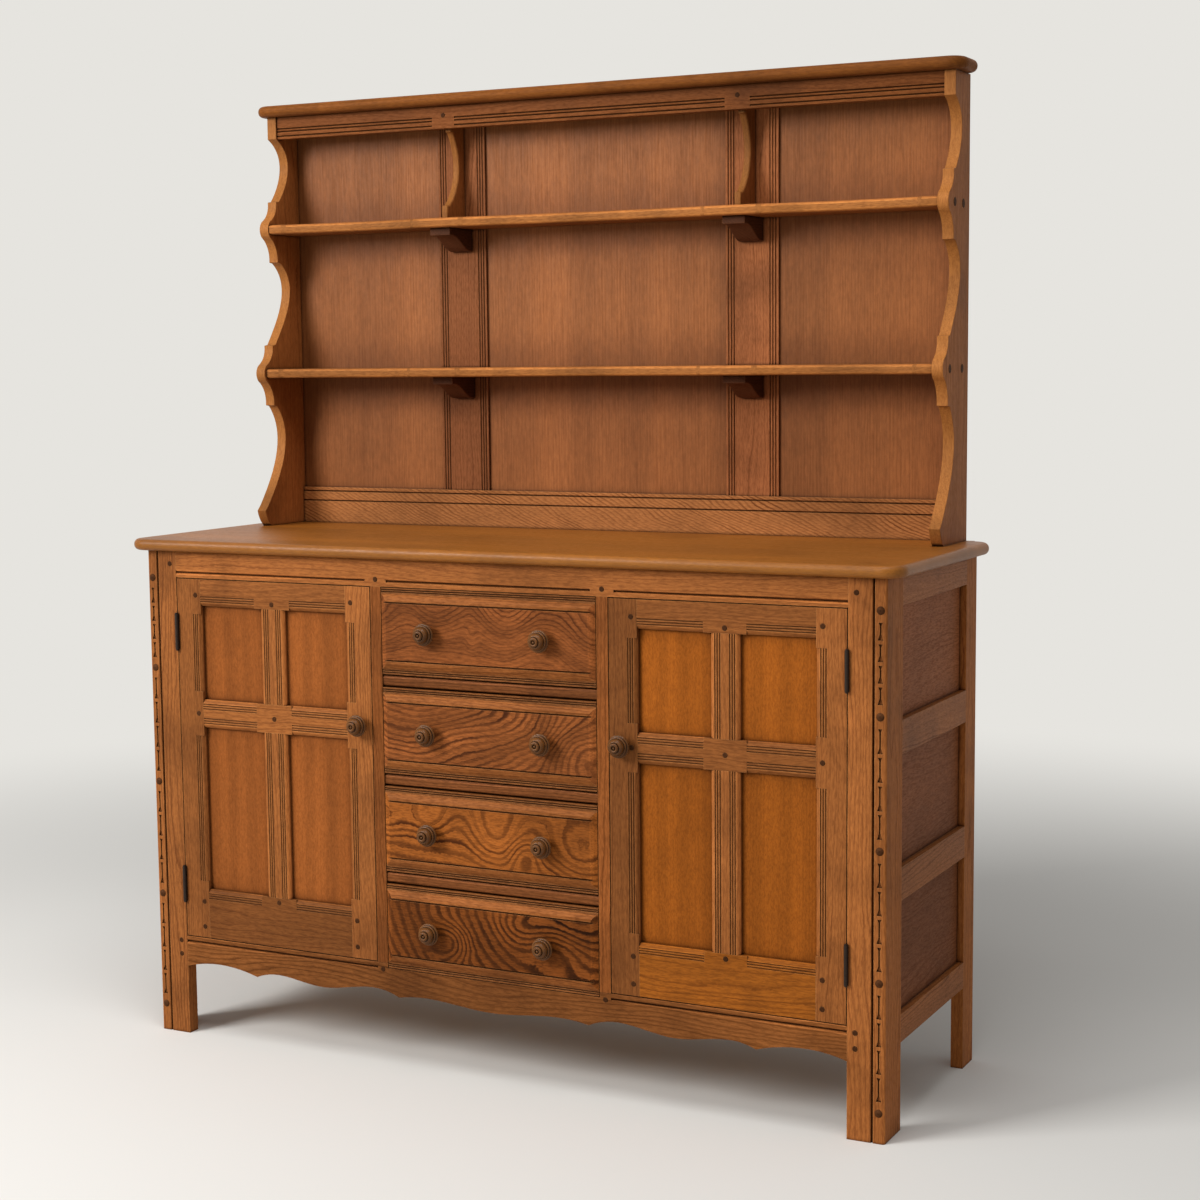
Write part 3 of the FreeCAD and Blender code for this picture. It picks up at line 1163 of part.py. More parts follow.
def knob(x, face_y, z):
    """A beehive knob: a neck, a wide rim, stepped rings and a small button."""
    step_r = (KNOB_R - KNOB_BUTTON_R) / (KNOB_RINGS + 1)
    step_d = (KNOB_LENGTH - KNOB_RIM) / (KNOB_RINGS + 1)
    profile = [(0, -KNOB_SPIGOT), (KNOB_SPIGOT_R, -KNOB_SPIGOT), (KNOB_SPIGOT_R, 0), (KNOB_NECK_R, 0),
               (KNOB_NECK_R, KNOB_NECK), (KNOB_R, KNOB_RIM_BACK), (KNOB_R, KNOB_RIM)]
    for ring in range(1, KNOB_RINGS + 1):
        radius = KNOB_R - ring * step_r
        out = KNOB_RIM + ring * step_d
        profile += [(radius + step_r / 2, out - step_d / 2), (radius, out)]
    profile += [(KNOB_BUTTON_R, KNOB_LENGTH - KNOB_BUTTON), (KNOB_BUTTON_R, KNOB_LENGTH), (0, KNOB_LENGTH)]
    points = [vec(x + r, face_y - d, z) for r, d in profile]
    face = Part.Face(Part.makePolygon(points + points[:1]))
    return face.revolve(vec(x, face_y, z), vec(0, 1, 0), 360)


# Drawers: a fielded front, lapped sides, a housed back and a bottom in grooves

DRAWER_EDGE = DRAWER_HALF - DRAWER_GAP
SIDE_INNER = DRAWER_EDGE - DRAWER_SIDE
SIDE_START = DRAWER_FRONT - DRAWER_LAP
SIDE_END = SIDE_START + DRAWER_BOX


def drawer_side(base, top):
    return (SIDE_INNER, DRAWER_EDGE, SIDE_START, SIDE_END, base + SLIDE_GAP, top - DRAWER_TOP_DROP)


def drawer_bottom(base):
    low = base + DRAWER_BOTTOM_RISE
    return (-SIDE_INNER - DRAWER_GROOVE, SIDE_INNER + DRAWER_GROOVE, DRAWER_FRONT - DRAWER_GROOVE, SIDE_END,
            low, low + DRAWER_BOTTOM)


def drawer_back(base, top):
    housed = SIDE_INNER + DRAWER_GROOVE
    return (-housed, housed, SIDE_END - DRAWER_SIDE - DRAWER_GROOVE, SIDE_END - DRAWER_GROOVE,
            base + DRAWER_BOTTOM_RISE + DRAWER_BOTTOM, top - DRAWER_TOP_DROP)


def drawer_front(base, top):
    """A board with a raised field: round bands above and below, chamfered ends, beads and quirks."""
    low, high = base + DRAWER_GAP, top - DRAWER_GAP
    band = DRAWER_MARGIN + DRAWER_BAND
    crown = DRAWER_MARGIN + DRAWER_BAND / 2
    x = -DRAWER_EDGE
    foot = [vec(x, DRAWER_FRONT, low), vec(x, 0, low), vec(x, 0, low + DRAWER_MARGIN)]
    field = [vec(x, -DRAWER_FIELD, low + band), vec(x, -DRAWER_FIELD, high - band)]
    head = [vec(x, 0, high - DRAWER_MARGIN), vec(x, 0, high), vec(x, DRAWER_FRONT, high), foot[0]]
    edges = [line(a, b) for run in (foot, field, head) for a, b in zip(run, run[1:])]
    edges.append(arc(foot[-1], vec(x, -DRAWER_FIELD * DRAWER_BULGE, low + crown), field[0]))
    edges.append(arc(field[1], vec(x, -DRAWER_FIELD * DRAWER_BULGE, high - crown), head[0]))
    outline = Part.Face(Part.Wire(Part.__sortEdges__(edges)))
    board = outline.extrude(vec(2 * DRAWER_EDGE, 0, 0))
    chamfer = slab_z([(DRAWER_EDGE - DRAWER_CHAMFER, -DRAWER_FIELD), (DRAWER_EDGE, 0),
                      (DRAWER_EDGE + DRAWER_CHAMFER, 0), (DRAWER_EDGE + DRAWER_CHAMFER, -2 * DRAWER_FIELD),
                      (DRAWER_EDGE - DRAWER_CHAMFER, -2 * DRAWER_FIELD)], low - FIT, high + FIT)
    tools = both(chamfer) + both(grown(drawer_side(base, top))) + [grown(drawer_bottom(base))]
    for step in range(1, DRAWER_REEDS + 1):
        inset = step * DRAWER_MARGIN / (DRAWER_REEDS + 1)
        for z in (high - inset, low + inset):
            tools.append(groove_x(-DRAWER_EDGE, DRAWER_EDGE, 0, z, DRAWER_REED, DRAWER_REED_DEPTH))
    for z in (high - band - DRAWER_QUIRK, low + band):
        tools.append(block(-DRAWER_EDGE, DRAWER_EDGE, -DRAWER_FIELD - FIT, DRAWER_QUIRK_DEPTH - DRAWER_FIELD,
                           z, z + DRAWER_QUIRK))
    middle = (low + high) / 2
    hole_end = KNOB_SPIGOT - DRAWER_FIELD + FIT
    tools += both(rod_y(DRAWER_KNOB_X, middle, KNOB_SPIGOT_R + FIT, -2 * DRAWER_FIELD, hole_end))
    return cut(board, tools)


def drawer_box(base, top):
    side = block(*drawer_side(base, top))
    side = cut(side, [grown(drawer_bottom(base)), grown(drawer_back(base, top))])
    return both(side) + [block(*drawer_back(base, top)), block(*drawer_bottom(base))]


# Write every node

save("end_posts", both(front_post()) + both(back_post()))
save("end_rails", [piece for span in END_RAIL_SPANS for piece in both(end_rail(span))])
save("end_panels", [piece for corners in END_PANELS for piece in both(block(*corners))])
save("front_stiles", both(front_stile()))
save("front_muntins", both(front_muntin()))
save("top_rail", [top_rail()])
save("apron", [apron()])
save("drawer_rails", [drawer_rail(index) for index in RAIL_INDEXES])
save("drawer_runners", drawer_runners())
save("drawer_stops", drawer_stops())
save("counter_top", [counter_top()])
save("partitions", both(partition()))
save("base_floor", [base_floor()])
save("cupboard_shelves", both(cupboard_shelf()))
save("shelf_cleats", shelf_cleats())
save("base_back_panel", [block(*BACK_PANEL)])
save("base_back_rails", [back_rail(span) for span in BACK_RAIL_SPANS])
save("frame_pegs", pegs(FRAME_PEGS, 0) + pegs(FRIEZE_PEGS, FRIEZE_FACE))
save("post_studs", [piece for z in STUD_HEIGHTS for piece in both(stud(z))])
save("door_stops", door_stops())
save("hinge_frame_leaves", [piece for z in HINGE_BOTTOMS for piece in both(frame_leaf(z))])
save("hinge_pins", [piece for z in HINGE_BOTTOMS for piece in both(hinge_pin(z))])

save("rack_ends", both(rack_end()))
save("cornice", [cornice()])
save("frieze", [frieze()])
save("upper_shelf", [rack_shelf(UPPER_SHELF_TOP, UPPER_SHELF_DEPTH, DIVIDER_TONGUES)])
save("lower_shelf", [rack_shelf(LOWER_SHELF_TOP, LOWER_SHELF_DEPTH, [])])
save("rack_dividers", both(rack_divider()))
save("shelf_brackets", both(shelf_bracket(UPPER_SHELF_TOP)) + both(shelf_bracket(LOWER_SHELF_TOP)))
save("rack_muntins", both(rack_muntin()))
save("rack_panels", [block(*MIDDLE_PANEL)] + both(block(*SIDE_PANEL)))
save("rack_foot_rail", [rack_foot_rail()])
save("end_plugs", end_plugs())

DOOR_GROUPS = {
    "door_stiles": door_stiles(),
    "door_rails": door_rails(),
    "door_muntins": [door_muntin(bay) for bay in DOOR_BAYS],
    "door_panels": [block(*corners) for corners in DOOR_PANELS],
    "door_pegs": pegs(DOOR_PEGS, 0),
    "door_knob": [knob(KNOB_X, 0, DOOR_KNOB_HEIGHT)],
    "door_hinge_leaves": [door_leaf(z) for z in HINGE_BOTTOMS],
}
for group, pieces in DOOR_GROUPS.items():
    save("right_" + group, pieces)
    save("left_" + group, [mirrored(piece) for piece in pieces])

for index in range(DRAWER_COUNT):
    base = drawer_base(index)
    top = base + DRAWER_SPACE
    number = str(index + 1)
    save("drawer_" + number + "_front", [drawer_front(base, top)])
    save("drawer_" + number + "_box", drawer_box(base, top))
    save("drawer_" + number + "_knobs", both(knob(DRAWER_KNOB_X, -DRAWER_FIELD, (base + top) / 2)))
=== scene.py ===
import bmesh
import bpy
import json
import math
from mathutils import Matrix, Vector

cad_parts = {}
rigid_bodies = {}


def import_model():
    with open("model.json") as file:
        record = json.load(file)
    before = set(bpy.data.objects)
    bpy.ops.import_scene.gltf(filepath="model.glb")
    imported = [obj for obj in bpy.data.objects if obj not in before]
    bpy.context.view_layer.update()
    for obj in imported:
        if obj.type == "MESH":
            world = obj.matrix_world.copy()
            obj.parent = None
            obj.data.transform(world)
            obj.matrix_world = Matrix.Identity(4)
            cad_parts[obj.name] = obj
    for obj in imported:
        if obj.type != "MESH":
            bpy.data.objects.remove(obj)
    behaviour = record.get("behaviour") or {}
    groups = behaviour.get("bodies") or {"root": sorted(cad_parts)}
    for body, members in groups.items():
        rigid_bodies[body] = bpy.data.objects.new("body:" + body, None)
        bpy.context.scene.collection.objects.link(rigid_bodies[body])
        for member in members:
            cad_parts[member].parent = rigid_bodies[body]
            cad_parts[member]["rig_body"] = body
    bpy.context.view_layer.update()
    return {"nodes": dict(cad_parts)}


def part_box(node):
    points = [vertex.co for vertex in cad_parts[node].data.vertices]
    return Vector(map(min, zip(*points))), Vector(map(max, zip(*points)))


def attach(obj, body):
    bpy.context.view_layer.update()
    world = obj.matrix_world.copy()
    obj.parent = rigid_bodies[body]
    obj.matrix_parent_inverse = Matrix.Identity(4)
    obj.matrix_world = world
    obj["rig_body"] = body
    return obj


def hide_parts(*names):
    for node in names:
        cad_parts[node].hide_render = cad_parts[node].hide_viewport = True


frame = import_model()

# Base ends. Each is a front post, a back post and four rails of elm, tenoned together, with three thin
# panels held loose in grooves. A strip of chisel cuts runs down the front post.
# The timber is stained, waxed and rubbed: bands of growth, open pores, smears of old wax, pale worn edges,
# and painted shade in the corners.
MM = 0.001
DRIFT_MM = 60.0
ZIGZAG_MM = 7.0
VIGOUR_MM = 45.0
PORE_MM = 1.5
CLOUD_MM = 90.0
FLECK_MM = 6.0
SMEAR_MM = 120.0
RUBBED_MM = 1.4
PANEL_SHADE_MM = 70.0
RELIEF_MM = 0.3
LINES_IN_BAND = 4.0
ZONES_IN_BAND = 0.3


def linear(hex_colour):
    """An sRGB hex colour as the linear RGBA that Blender's sockets take."""
    parts = [int(hex_colour[i:i + 2], 16) / 255 for i in (1, 3, 5)]
    return [c / 12.92 if c <= 0.04045 else ((c + 0.055) / 1.055) ** 2.4 for c in parts] + [1.0]


def add(tree, kind, inputs=None, **settings):
    """Add one shader node with its settings, give its sockets values or links, and return its outputs."""
    made = tree.nodes.new("ShaderNode" + kind)
    for name, value in settings.items():
        setattr(made, name, value)
    for socket, value in (inputs or {}).items():
        if isinstance(value, bpy.types.NodeSocket):
            tree.links.new(value, made.inputs[socket])
        else:
            made.inputs[socket].default_value = value
    return made.outputs


def bare_material(name):
    """A new material whose node tree is still empty."""
    material = bpy.data.materials.new(name)
    material.use_nodes = True
    material.node_tree.nodes.clear()
    return material


def waxed_timber(name, pale, deep, shade_and_wax_colour, grain, band_mm, wander, knots=(), slope=None, heart=None,
                 contrast=0.8, roughness=0.5, worn=None, stretch=0.14, pore=0.36, gloss=0.06, late=0.32,
                 jag=0.3, bright=None, frame_shade=0.0, even=0.15, pore_long=0.14, mottle=0.1, zones=0.0,
                 smears=0.4, crevice=6.0):
    """Waxed, stained timber with its growth bands running along one axis of the object.

    band_mm is the spacing of the bands and wander how many bands they drift sideways. Each knot is
    (x, z, half width, half height, bands, light) in millimetres: the bands flow round it, and it is so much
    lighter or darker than the rest. slope turns the bands, and heart, (x, z, squash), makes them rings round
    a place. contrast is how dark the bands are, late how much of each one is dark, even how alike they are
    and jag how much they zigzag. stretch and pore_long draw noise and pores out along the grain. bright names
    the axis of the broad faces: the edges between them are rubbed pale. hollow is the strength of a painted
    shade that darkens a panel towards its frame. mottle is the strength of small flecks, zones that of the
    broad light and dark runs that follow the bands, and smears that of old wax. crevice is how far, in
    millimetres, the painted shade of corners and grooves spreads out of them."""
    material = bare_material(name)
    tree = material.node_tree
    axis = "XYZ".index(grain)
    squeeze = [stretch if i == axis else 1.0 for i in range(3)]
    across = slope or [0.0 if i == axis else (1.0, 0.6, 1.0)[i] for i in range(3)]
    across = [part / (band_mm * MM) for part in across]
    place = add(tree, "TexCoord")["Object"]
    flow = add(tree, "Mapping", {"Vector": place, "Scale": squeeze})["Vector"]

    # Growth bands: a steady run across the board, pushed sideways by slow noise and by each knot, with the
    # small zigzag of elm on top
    if heart:
        x, z, squash = heart
        reach = add(tree, "Mapping", {"Vector": place, "Location": (-x / band_mm, 0.0, -z * squash / band_mm),
                                      "Scale": (1 / (band_mm * MM), 0.0, squash / (band_mm * MM))})["Vector"]
        height = add(tree, "VectorMath", {0: reach}, operation="LENGTH")["Value"]
    else:
        height = add(tree, "VectorMath", {0: place, 1: across}, operation="DOT_PRODUCT")["Value"]
    drift = add(tree, "TexNoise", {"Vector": flow, "Scale": 1 / (DRIFT_MM * MM), "Detail": 3.0,
                                   "Roughness": 0.45})["Fac"]
    height = add(tree, "Math", {0: drift, 1: wander, 2: height}, operation="MULTIPLY_ADD")["Value"]
    zigzag = add(tree, "TexNoise", {"Vector": place, "Scale": 1 / (ZIGZAG_MM * MM), "Detail": 2.0})["Fac"]
    height = add(tree, "Math", {0: zigzag, 1: jag, 2: height}, operation="MULTIPLY_ADD")["Value"]
    lights = 1.0
    for x, z, wide, tall, bands, light in knots:
        size = (1 / (wide * MM), 0.0, 1 / (tall * MM))
        spot = add(tree, "Mapping", {"Vector": place, "Location": (-x / wide, 0.0, -z / tall), "Scale": size})
        hump = add(tree, "TexGradient", {"Vector": spot["Vector"]}, gradient_type="SPHERICAL")["Fac"]
        hump = add(tree, "MapRange", {"Value": hump}, interpolation_type="SMOOTHSTEP")["Result"]
        height = add(tree, "Math", {0: hump, 1: bands, 2: height}, operation="MULTIPLY_ADD")["Value"]
        lights = add(tree, "Math", {0: hump, 1: light, 2: lights}, operation="MULTIPLY_ADD")["Value"]
    ring = add(tree, "Math", {0: height}, operation="FRACT")["Value"]
    fall = add(tree, "MapRange", {"Value": ring, "From Min": 0.0, "From Max": late, "To Min": 1.0,
                                  "To Max": 0.0}, interpolation_type="SMOOTHSTEP")["Result"]
    rise = add(tree, "MapRange", {"Value": ring, "From Min": 0.86, "From Max": 1.0},
               interpolation_type="SMOOTHSTEP")["Result"]
    band = add(tree, "Math", {0: fall, 1: rise}, operation="MAXIMUM")["Value"]
    year = add(tree, "Math", {0: height}, operation="FLOOR")["Value"]
    year = add(tree, "TexWhiteNoise", {"W": year}, noise_dimensions="1D")["Value"]
    year = add(tree, "MapRange", {"Value": year, "To Min": even})["Result"]
    band = add(tree, "Math", {0: band, 1: year}, operation="MULTIPLY")["Value"]
    vigour = add(tree, "TexNoise", {"Vector": flow, "Scale": 1 / (VIGOUR_MM * MM), "Detail": 2.0})["Fac"]
    vigour = add(tree, "MapRange", {"Value": vigour, "From Min": 0.35, "From Max": 0.65,
                                    "To Min": 0.5})["Result"]
    band = add(tree, "Math", {0: band, 1: vigour}, operation="MULTIPLY")["Value"]
    split = add(tree, "Math", {0: height, 1: LINES_IN_BAND}, operation="MULTIPLY")["Value"]
    split = add(tree, "Math", {0: split, 1: 1.0}, operation="PINGPONG")["Value"]
    band = add(tree, "Math", {0: split, 1: 0.22, 2: band}, operation="MULTIPLY_ADD", use_clamp=True)["Value"]

    # Pores: dashes over 1 mm wide and about 5 to 50 mm long, coarser than the real ones so that they show
    fine = [pore_long if i == axis else 1.0 for i in range(3)]
    streak = add(tree, "Mapping", {"Vector": place, "Scale": fine})["Vector"]
    pores = add(tree, "TexNoise", {"Vector": streak, "Scale": 1 / (PORE_MM * MM), "Detail": 3.0})["Fac"]
    pores = add(tree, "MapRange", {"Value": pores, "From Min": 0.46, "From Max": 0.6})["Result"]

    # Broad changes of tone along a board, the tone of the board itself, and small flecks
    cloud = add(tree, "TexNoise", {"Vector": flow, "Scale": 1 / (CLOUD_MM * MM), "Detail": 3.0})["Fac"]
    cloud = add(tree, "MapRange", {"Value": cloud, "From Min": 0.3, "From Max": 0.7, "To Min": 0.78,
                                   "To Max": 1.14})["Result"]
    board = add(tree, "Attribute", attribute_name="tone")["Fac"]
    tone = add(tree, "Math", {0: cloud, 1: board}, operation="MULTIPLY")["Value"]
    tone = add(tree, "Math", {0: tone, 1: lights}, operation="MULTIPLY")["Value"]
    along = [0.4 if i == axis else 1.0 for i in range(3)]
    fleck = add(tree, "Mapping", {"Vector": place, "Scale": along})["Vector"]
    fleck = add(tree, "TexNoise", {"Vector": fleck, "Scale": 1 / (FLECK_MM * MM), "Detail": 5.0,
                                   "Roughness": 0.7})["Fac"]
    fleck = add(tree, "MapRange", {"Value": fleck, "From Min": 0.3, "From Max": 0.7, "To Min": 1 - mottle,
                                   "To Max": 1 + mottle})["Result"]
    tone = add(tree, "Math", {0: tone, 1: fleck}, operation="MULTIPLY")["Value"]
    if zones:
        broad = add(tree, "Math", {0: height, 1: ZONES_IN_BAND}, operation="MULTIPLY")["Value"]
        broad = add(tree, "Math", {0: broad, 1: 1.0}, operation="PINGPONG")["Value"]
        broad = add(tree, "MapRange", {"Value": broad, "From Min": 0.25, "From Max": 0.75,
                                       "To Min": 1 - zones, "To Max": 1 + zones},
                    interpolation_type="SMOOTHSTEP")["Result"]
        tone = add(tree, "Math", {0: tone, 1: broad}, operation="MULTIPLY")["Value"]

    # Rubbed edges, painted shade in corners and grooves, and smears of old wax
    eased = add(tree, "Bevel", {"Radius": RUBBED_MM * MM}, samples=4)["Normal"]
    flat = add(tree, "NewGeometry")["Normal"]
    turn = add(tree, "VectorMath", {0: eased, 1: flat}, operation="DOT_PRODUCT")["Value"]
    rubbed = add(tree, "MapRange", {"Value": turn, "From Min": 0.86, "From Max": 0.995, "To Min": 0.8,
                                    "To Max": 0.0})["Result"]
    if bright:
        facing = add(tree, "SeparateXYZ", {0: add(tree, "TexCoord")["Normal"]})[bright]
        facing = add(tree, "Math", {0: facing}, operation="ABSOLUTE")["Value"]
        edge = add(tree, "MapRange", {"Value": facing, "From Min": 0.35, "From Max": 0.9, "To Min": 0.7,
                                      "To Max": 0.0})["Result"]
        rubbed = add(tree, "Math", {0: rubbed, 1: edge}, operation="MAXIMUM")["Value"]
    # Painted shade: darker in corners, grooves and the gaps between parts
    open_air = add(tree, "AmbientOcclusion", {"Distance": crevice * MM}, samples=6)["AO"]
    shade_and_wax = add(tree, "MapRange", {"Value": open_air, "From Min": 0.36, "From Max": 0.9, "To Min": 0.97,
                                  "To Max": 0.0})["Result"]
    smear = add(tree, "TexNoise", {"Vector": place, "Scale": 1 / (SMEAR_MM * MM), "Detail": 3.0})["Fac"]
    smear = add(tree, "MapRange", {"Value": smear, "From Min": 0.5, "From Max": 0.75,
                                   "To Max": smears})["Result"]
    shade_and_wax = add(tree, "Math", {0: shade_and_wax, 1: smear}, operation="MAXIMUM")["Value"]
    if frame_shade:
        # Painted shade that darkens a panel towards the frame round it
        round_about = add(tree, "AmbientOcclusion", {"Distance": PANEL_SHADE_MM * MM}, samples=6)["AO"]
        frame_shade_mask = add(tree, "MapRange", {"Value": round_about, "From Min": 0.6, "From Max": 0.97,
                                        "To Min": frame_shade, "To Max": 0.0})["Result"]
        shade_and_wax = add(tree, "Math", {0: shade_and_wax, 1: frame_shade_mask}, operation="MAXIMUM")["Value"]

    # Colour: pale or worn wood, then the bands and pores, the tone with its painted bead highlights, and the
    # painted shade and old wax over all of it
    plain = add(tree, "MapRange", {"Value": rubbed, "To Min": contrast, "To Max": 0.3 * contrast})["Result"]
    shade = add(tree, "Math", {0: band, 1: plain}, operation="MULTIPLY")["Value"]
    wood = add(tree, "Mix", {0: rubbed, 6: linear(pale), 7: linear(worn or pale)}, data_type="RGBA")[2]
    wood = add(tree, "Mix", {0: shade, 6: wood, 7: linear(deep)}, data_type="RGBA")[2]
    depth = add(tree, "Math", {0: pores, 1: pore}, operation="MULTIPLY")["Value"]
    wood = add(tree, "Mix", {0: depth, 6: wood, 7: linear(deep)}, data_type="RGBA")[2]
    wood = add(tree, "HueSaturation", {"Color": wood, "Value": tone})["Color"]
    wood = add(tree, "Mix", {0: shade_and_wax, 6: wood, 7: linear(shade_and_wax_colour)}, data_type="RGBA")[2]

    # Surface: bands and pores lie a little lower and duller than the rest
    relief = add(tree, "Math", {0: pores, 1: 0.8, 2: band}, operation="MULTIPLY_ADD")["Value"]
    dull = add(tree, "MapRange", {"Value": relief, "From Max": 1.8, "To Min": roughness,
                                  "To Max": roughness + 0.16})["Result"]
    bump = add(tree, "Bump", {"Height": relief, "Normal": eased, "Strength": 0.3, "Distance": RELIEF_MM * MM},
               invert=True)["Normal"]
    skin = add(tree, "BsdfPrincipled", {"Base Color": wood, "Roughness": dull, "Normal": bump, "IOR": 1.48,
                                        "Specular IOR Level": gloss})["BSDF"]
    add(tree, "OutputMaterial", {"Surface": skin})
    return material


WELD_MM = 0.002
FLAT_WITHIN = math.radians(0.4)
SHARP_EDGE = math.radians(32)
FOLD = math.radians(12)
SQUARE_ON = 0.985
BEAD_END_MM = 12.0
EASE_CUTS = 3
PLAIN_TONE = 0.92
TONE_RUN = 0.14
GOLDEN_SHARE = 0.618
# Beads are toned brighter than flats: a painted highlight, partly rubbing; upward-sloping ones more, painted
# light from above
BEAD_HIGHLIGHT_TONE = 1.27
TOP_LIGHT_TONE = 0.34


def stands_out(face):
    """Whether a face slopes or curves outwards, as a bead does and the side of a groove does not.

    The short edges where a bead stops against a block don't count."""
    flat = max(abs(part) for part in face.normal) > SQUARE_ON
    folds = [edge for edge in face.edges if len(edge.link_faces) == 2 and edge.calc_face_angle(0) > FOLD]
    folds = [edge for edge in folds if edge.calc_length() > BEAD_END_MM * MM] or folds
    return not flat and all(edge.is_convex for edge in folds)


def tone_boards(shape, tones, even_edges):
    """Give each separate board of a shape its own tone: the chosen one nearest to it, or one of a steady run.

    A chosen tone is (x, z, tone), with its place in millimetres. Unless the edges are even, beads get a
    painted highlight, partly rubbing, that makes them brighter than the flats beside them, and painted light
    from above makes those that slope upwards brighter still."""
    shape.normal_update()
    layer = shape.faces.layers.float.new("tone")
    met = set()
    count = 0
    for first in shape.verts:
        if first in met:
            continue
        met.add(first)
        board = [first]
        for vert in board:
            for edge in vert.link_edges:
                other = edge.other_vert(vert)
                if other not in met:
                    met.add(other)
                    board.append(other)
        x = (min(v.co.x for v in board) + max(v.co.x for v in board)) / 2 / MM
        z = (min(v.co.z for v in board) + max(v.co.z for v in board)) / 2 / MM
        if tones:
            tone = min(tones, key=lambda spot: (spot[0] - x) ** 2 + (spot[1] - z) ** 2)[2]
        else:
            tone = PLAIN_TONE + TONE_RUN * (count * GOLDEN_SHARE % 1)
        for face in {face for vert in board for face in vert.link_faces}:
            face[layer] = tone
            # Painted highlight on beads, and painted light from above on those that slope upwards
            if not even_edges and stands_out(face):
                # 0 on upright and level faces, 1 halfway between them
                rise = 4 * max(0.0, face.normal.z) * (1 - abs(face.normal.z))
                face[layer] = tone * (BEAD_HIGHLIGHT_TONE + TOP_LIGHT_TONE * rise)
        count += 1


def planed(node, finish, ease_mm=0.0, eased_edges=None, trim=None, trimmed=None, tones=(), even_edges=False):
    """A node's boards with their triangles joined, flats made whole and chosen edges rounded.

    Chosen faces can have a finish of their own, trim."""
    boards = bmesh.new()
    boards.from_mesh(frame["nodes"][node].data)
    bmesh.ops.remove_doubles(boards, verts=boards.verts, dist=WELD_MM * MM)
    bmesh.ops.dissolve_limit(boards, angle_limit=FLAT_WITHIN, verts=boards.verts, edges=boards.edges)
    if eased_edges:
        chosen = [edge for edge in boards.edges if len(edge.link_faces) == 2 and eased_edges(edge)]
        bmesh.ops.bevel(boards, geom=chosen, offset=ease_mm * MM, offset_type="OFFSET", segments=EASE_CUTS,
                        profile=0.5, affect="EDGES", clamp_overlap=True, material=-1)
    for edge in boards.edges:
        edge.smooth = len(edge.link_faces) == 2 and edge.calc_face_angle(math.pi) < SHARP_EDGE
    for face in boards.faces:
        face.smooth = True
        face.material_index = int(bool(trim and trimmed(face)))
    piece = fitted("planed_" + node, boards, finish, node, tones=tones, even_edges=even_edges)
    if trim:
        piece.data.materials.append(trim)
    return piece


def fitted(name, shape, finish, *nodes, tones=(), even_edges=False):
    """Turn a finished shape into a piece that stands for its CAD nodes and moves with their body."""
    tone_boards(shape, tones, even_edges)
    mesh = bpy.data.meshes.new(name)
    shape.to_mesh(mesh)
    shape.free()
    mesh.materials.append(finish)
    piece = bpy.data.objects.new(name, mesh)
    bpy.context.scene.collection.objects.link(piece)
    piece.modifiers.new("flats", "WEIGHTED_NORMAL").keep_sharp = True
    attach(piece, frame["nodes"][nodes[0]]["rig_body"])
    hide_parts(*nodes)
    return piece


# Waxed elm is a warm brown with a coarse, wandering figure; on the end panels it is darker and duller
ELM = {"pale": "#A36331", "deep": "#603115", "shade_and_wax_colour": "#3C1D0B", "worn": "#C4874E"}
upright_elm = waxed_timber("waxed_elm_upright", grain="Z", band_mm=7.0, wander=9.0, **ELM)
level_elm = waxed_timber("waxed_elm_level", grain="X", band_mm=8.0, wander=9.0, **ELM)
endways_elm = waxed_timber("waxed_elm_endways", grain="Y", band_mm=8.0, wander=8.0, gloss=0.14, **ELM)
end_panel_elm = waxed_timber("waxed_elm_end_panel", "#845030", "#5C311B", "#22100A", "Y", 12.0, 11.0,
                             contrast=0.7, smears=0.12, pore=0.5)
POST_TONES = ((-647, 416, 1.0), (647, 416, 1.2))
END_PANEL_TONES = ((647, 700, 1.46), (647, 480, 1.08), (647, 260, 0.88), (-647, 700, 1.1), (-647, 260, 0.95))
POST_EASE_MM = 6.0
POST_CORNER_MM = 500.0
POST_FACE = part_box("end_posts")[0].y


def post_corner(edge):
    """The long front corner of a post, on the outside of the dresser."""
    outer = edge.link_faces[0].normal + edge.link_faces[1].normal
    middle = (edge.verts[0].co + edge.verts[1].co) / 2
    front = all(vert.co.y < POST_FACE + WELD_MM * MM for vert in edge.verts)
    return front and edge.calc_length() > POST_CORNER_MM * MM and outer.x * middle.x > 0


planed("end_posts", upright_elm, POST_EASE_MM, post_corner, tones=POST_TONES)
planed("end_rails", endways_elm)
planed("end_panels", end_panel_elm, tones=END_PANEL_TONES)

# Front frame. Stiles beside the doors, two muntins beside the drawers, a beaded top rail, thin rails
# between the drawers and an apron with a cut edge, all elm, tenoned and pinned with pegs.
# Some boards took more stain: they are darker and redder, and the drawer rails nearly chocolate.
DARK_ELM = {"pale": "#8A4F24", "deep": "#502609", "shade_and_wax_colour": "#2C1306", "worn": "#B0733F"}
dark_upright_elm = waxed_timber("dark_elm_upright", grain="Z", band_mm=7.0, wander=9.0, **DARK_ELM)
dark_level_elm = waxed_timber("dark_elm_level", grain="X", band_mm=8.0, wander=9.0, **DARK_ELM)
rail_elm = waxed_timber("dark_elm_drawer_rail", "#864F29", "#3E1E0A", "#1C0D05", "X", 5.0, 9.0,
                        worn="#96643A", roughness=0.45, gloss=0.05, contrast=0.9)
planed("front_stiles", upright_elm, tones=((-617, 416, 0.92), (617, 416, 1.26)))
planed("front_muntins", dark_upright_elm, tones=((-203, 480, 1.0), (203, 480, 1.25)))
planed("drawer_rails", rail_elm)
BEAD_EASE_MM = 2.2
BEAD_SHORTEST_MM = 100.0
FRAME_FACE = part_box("top_rail")[0].y


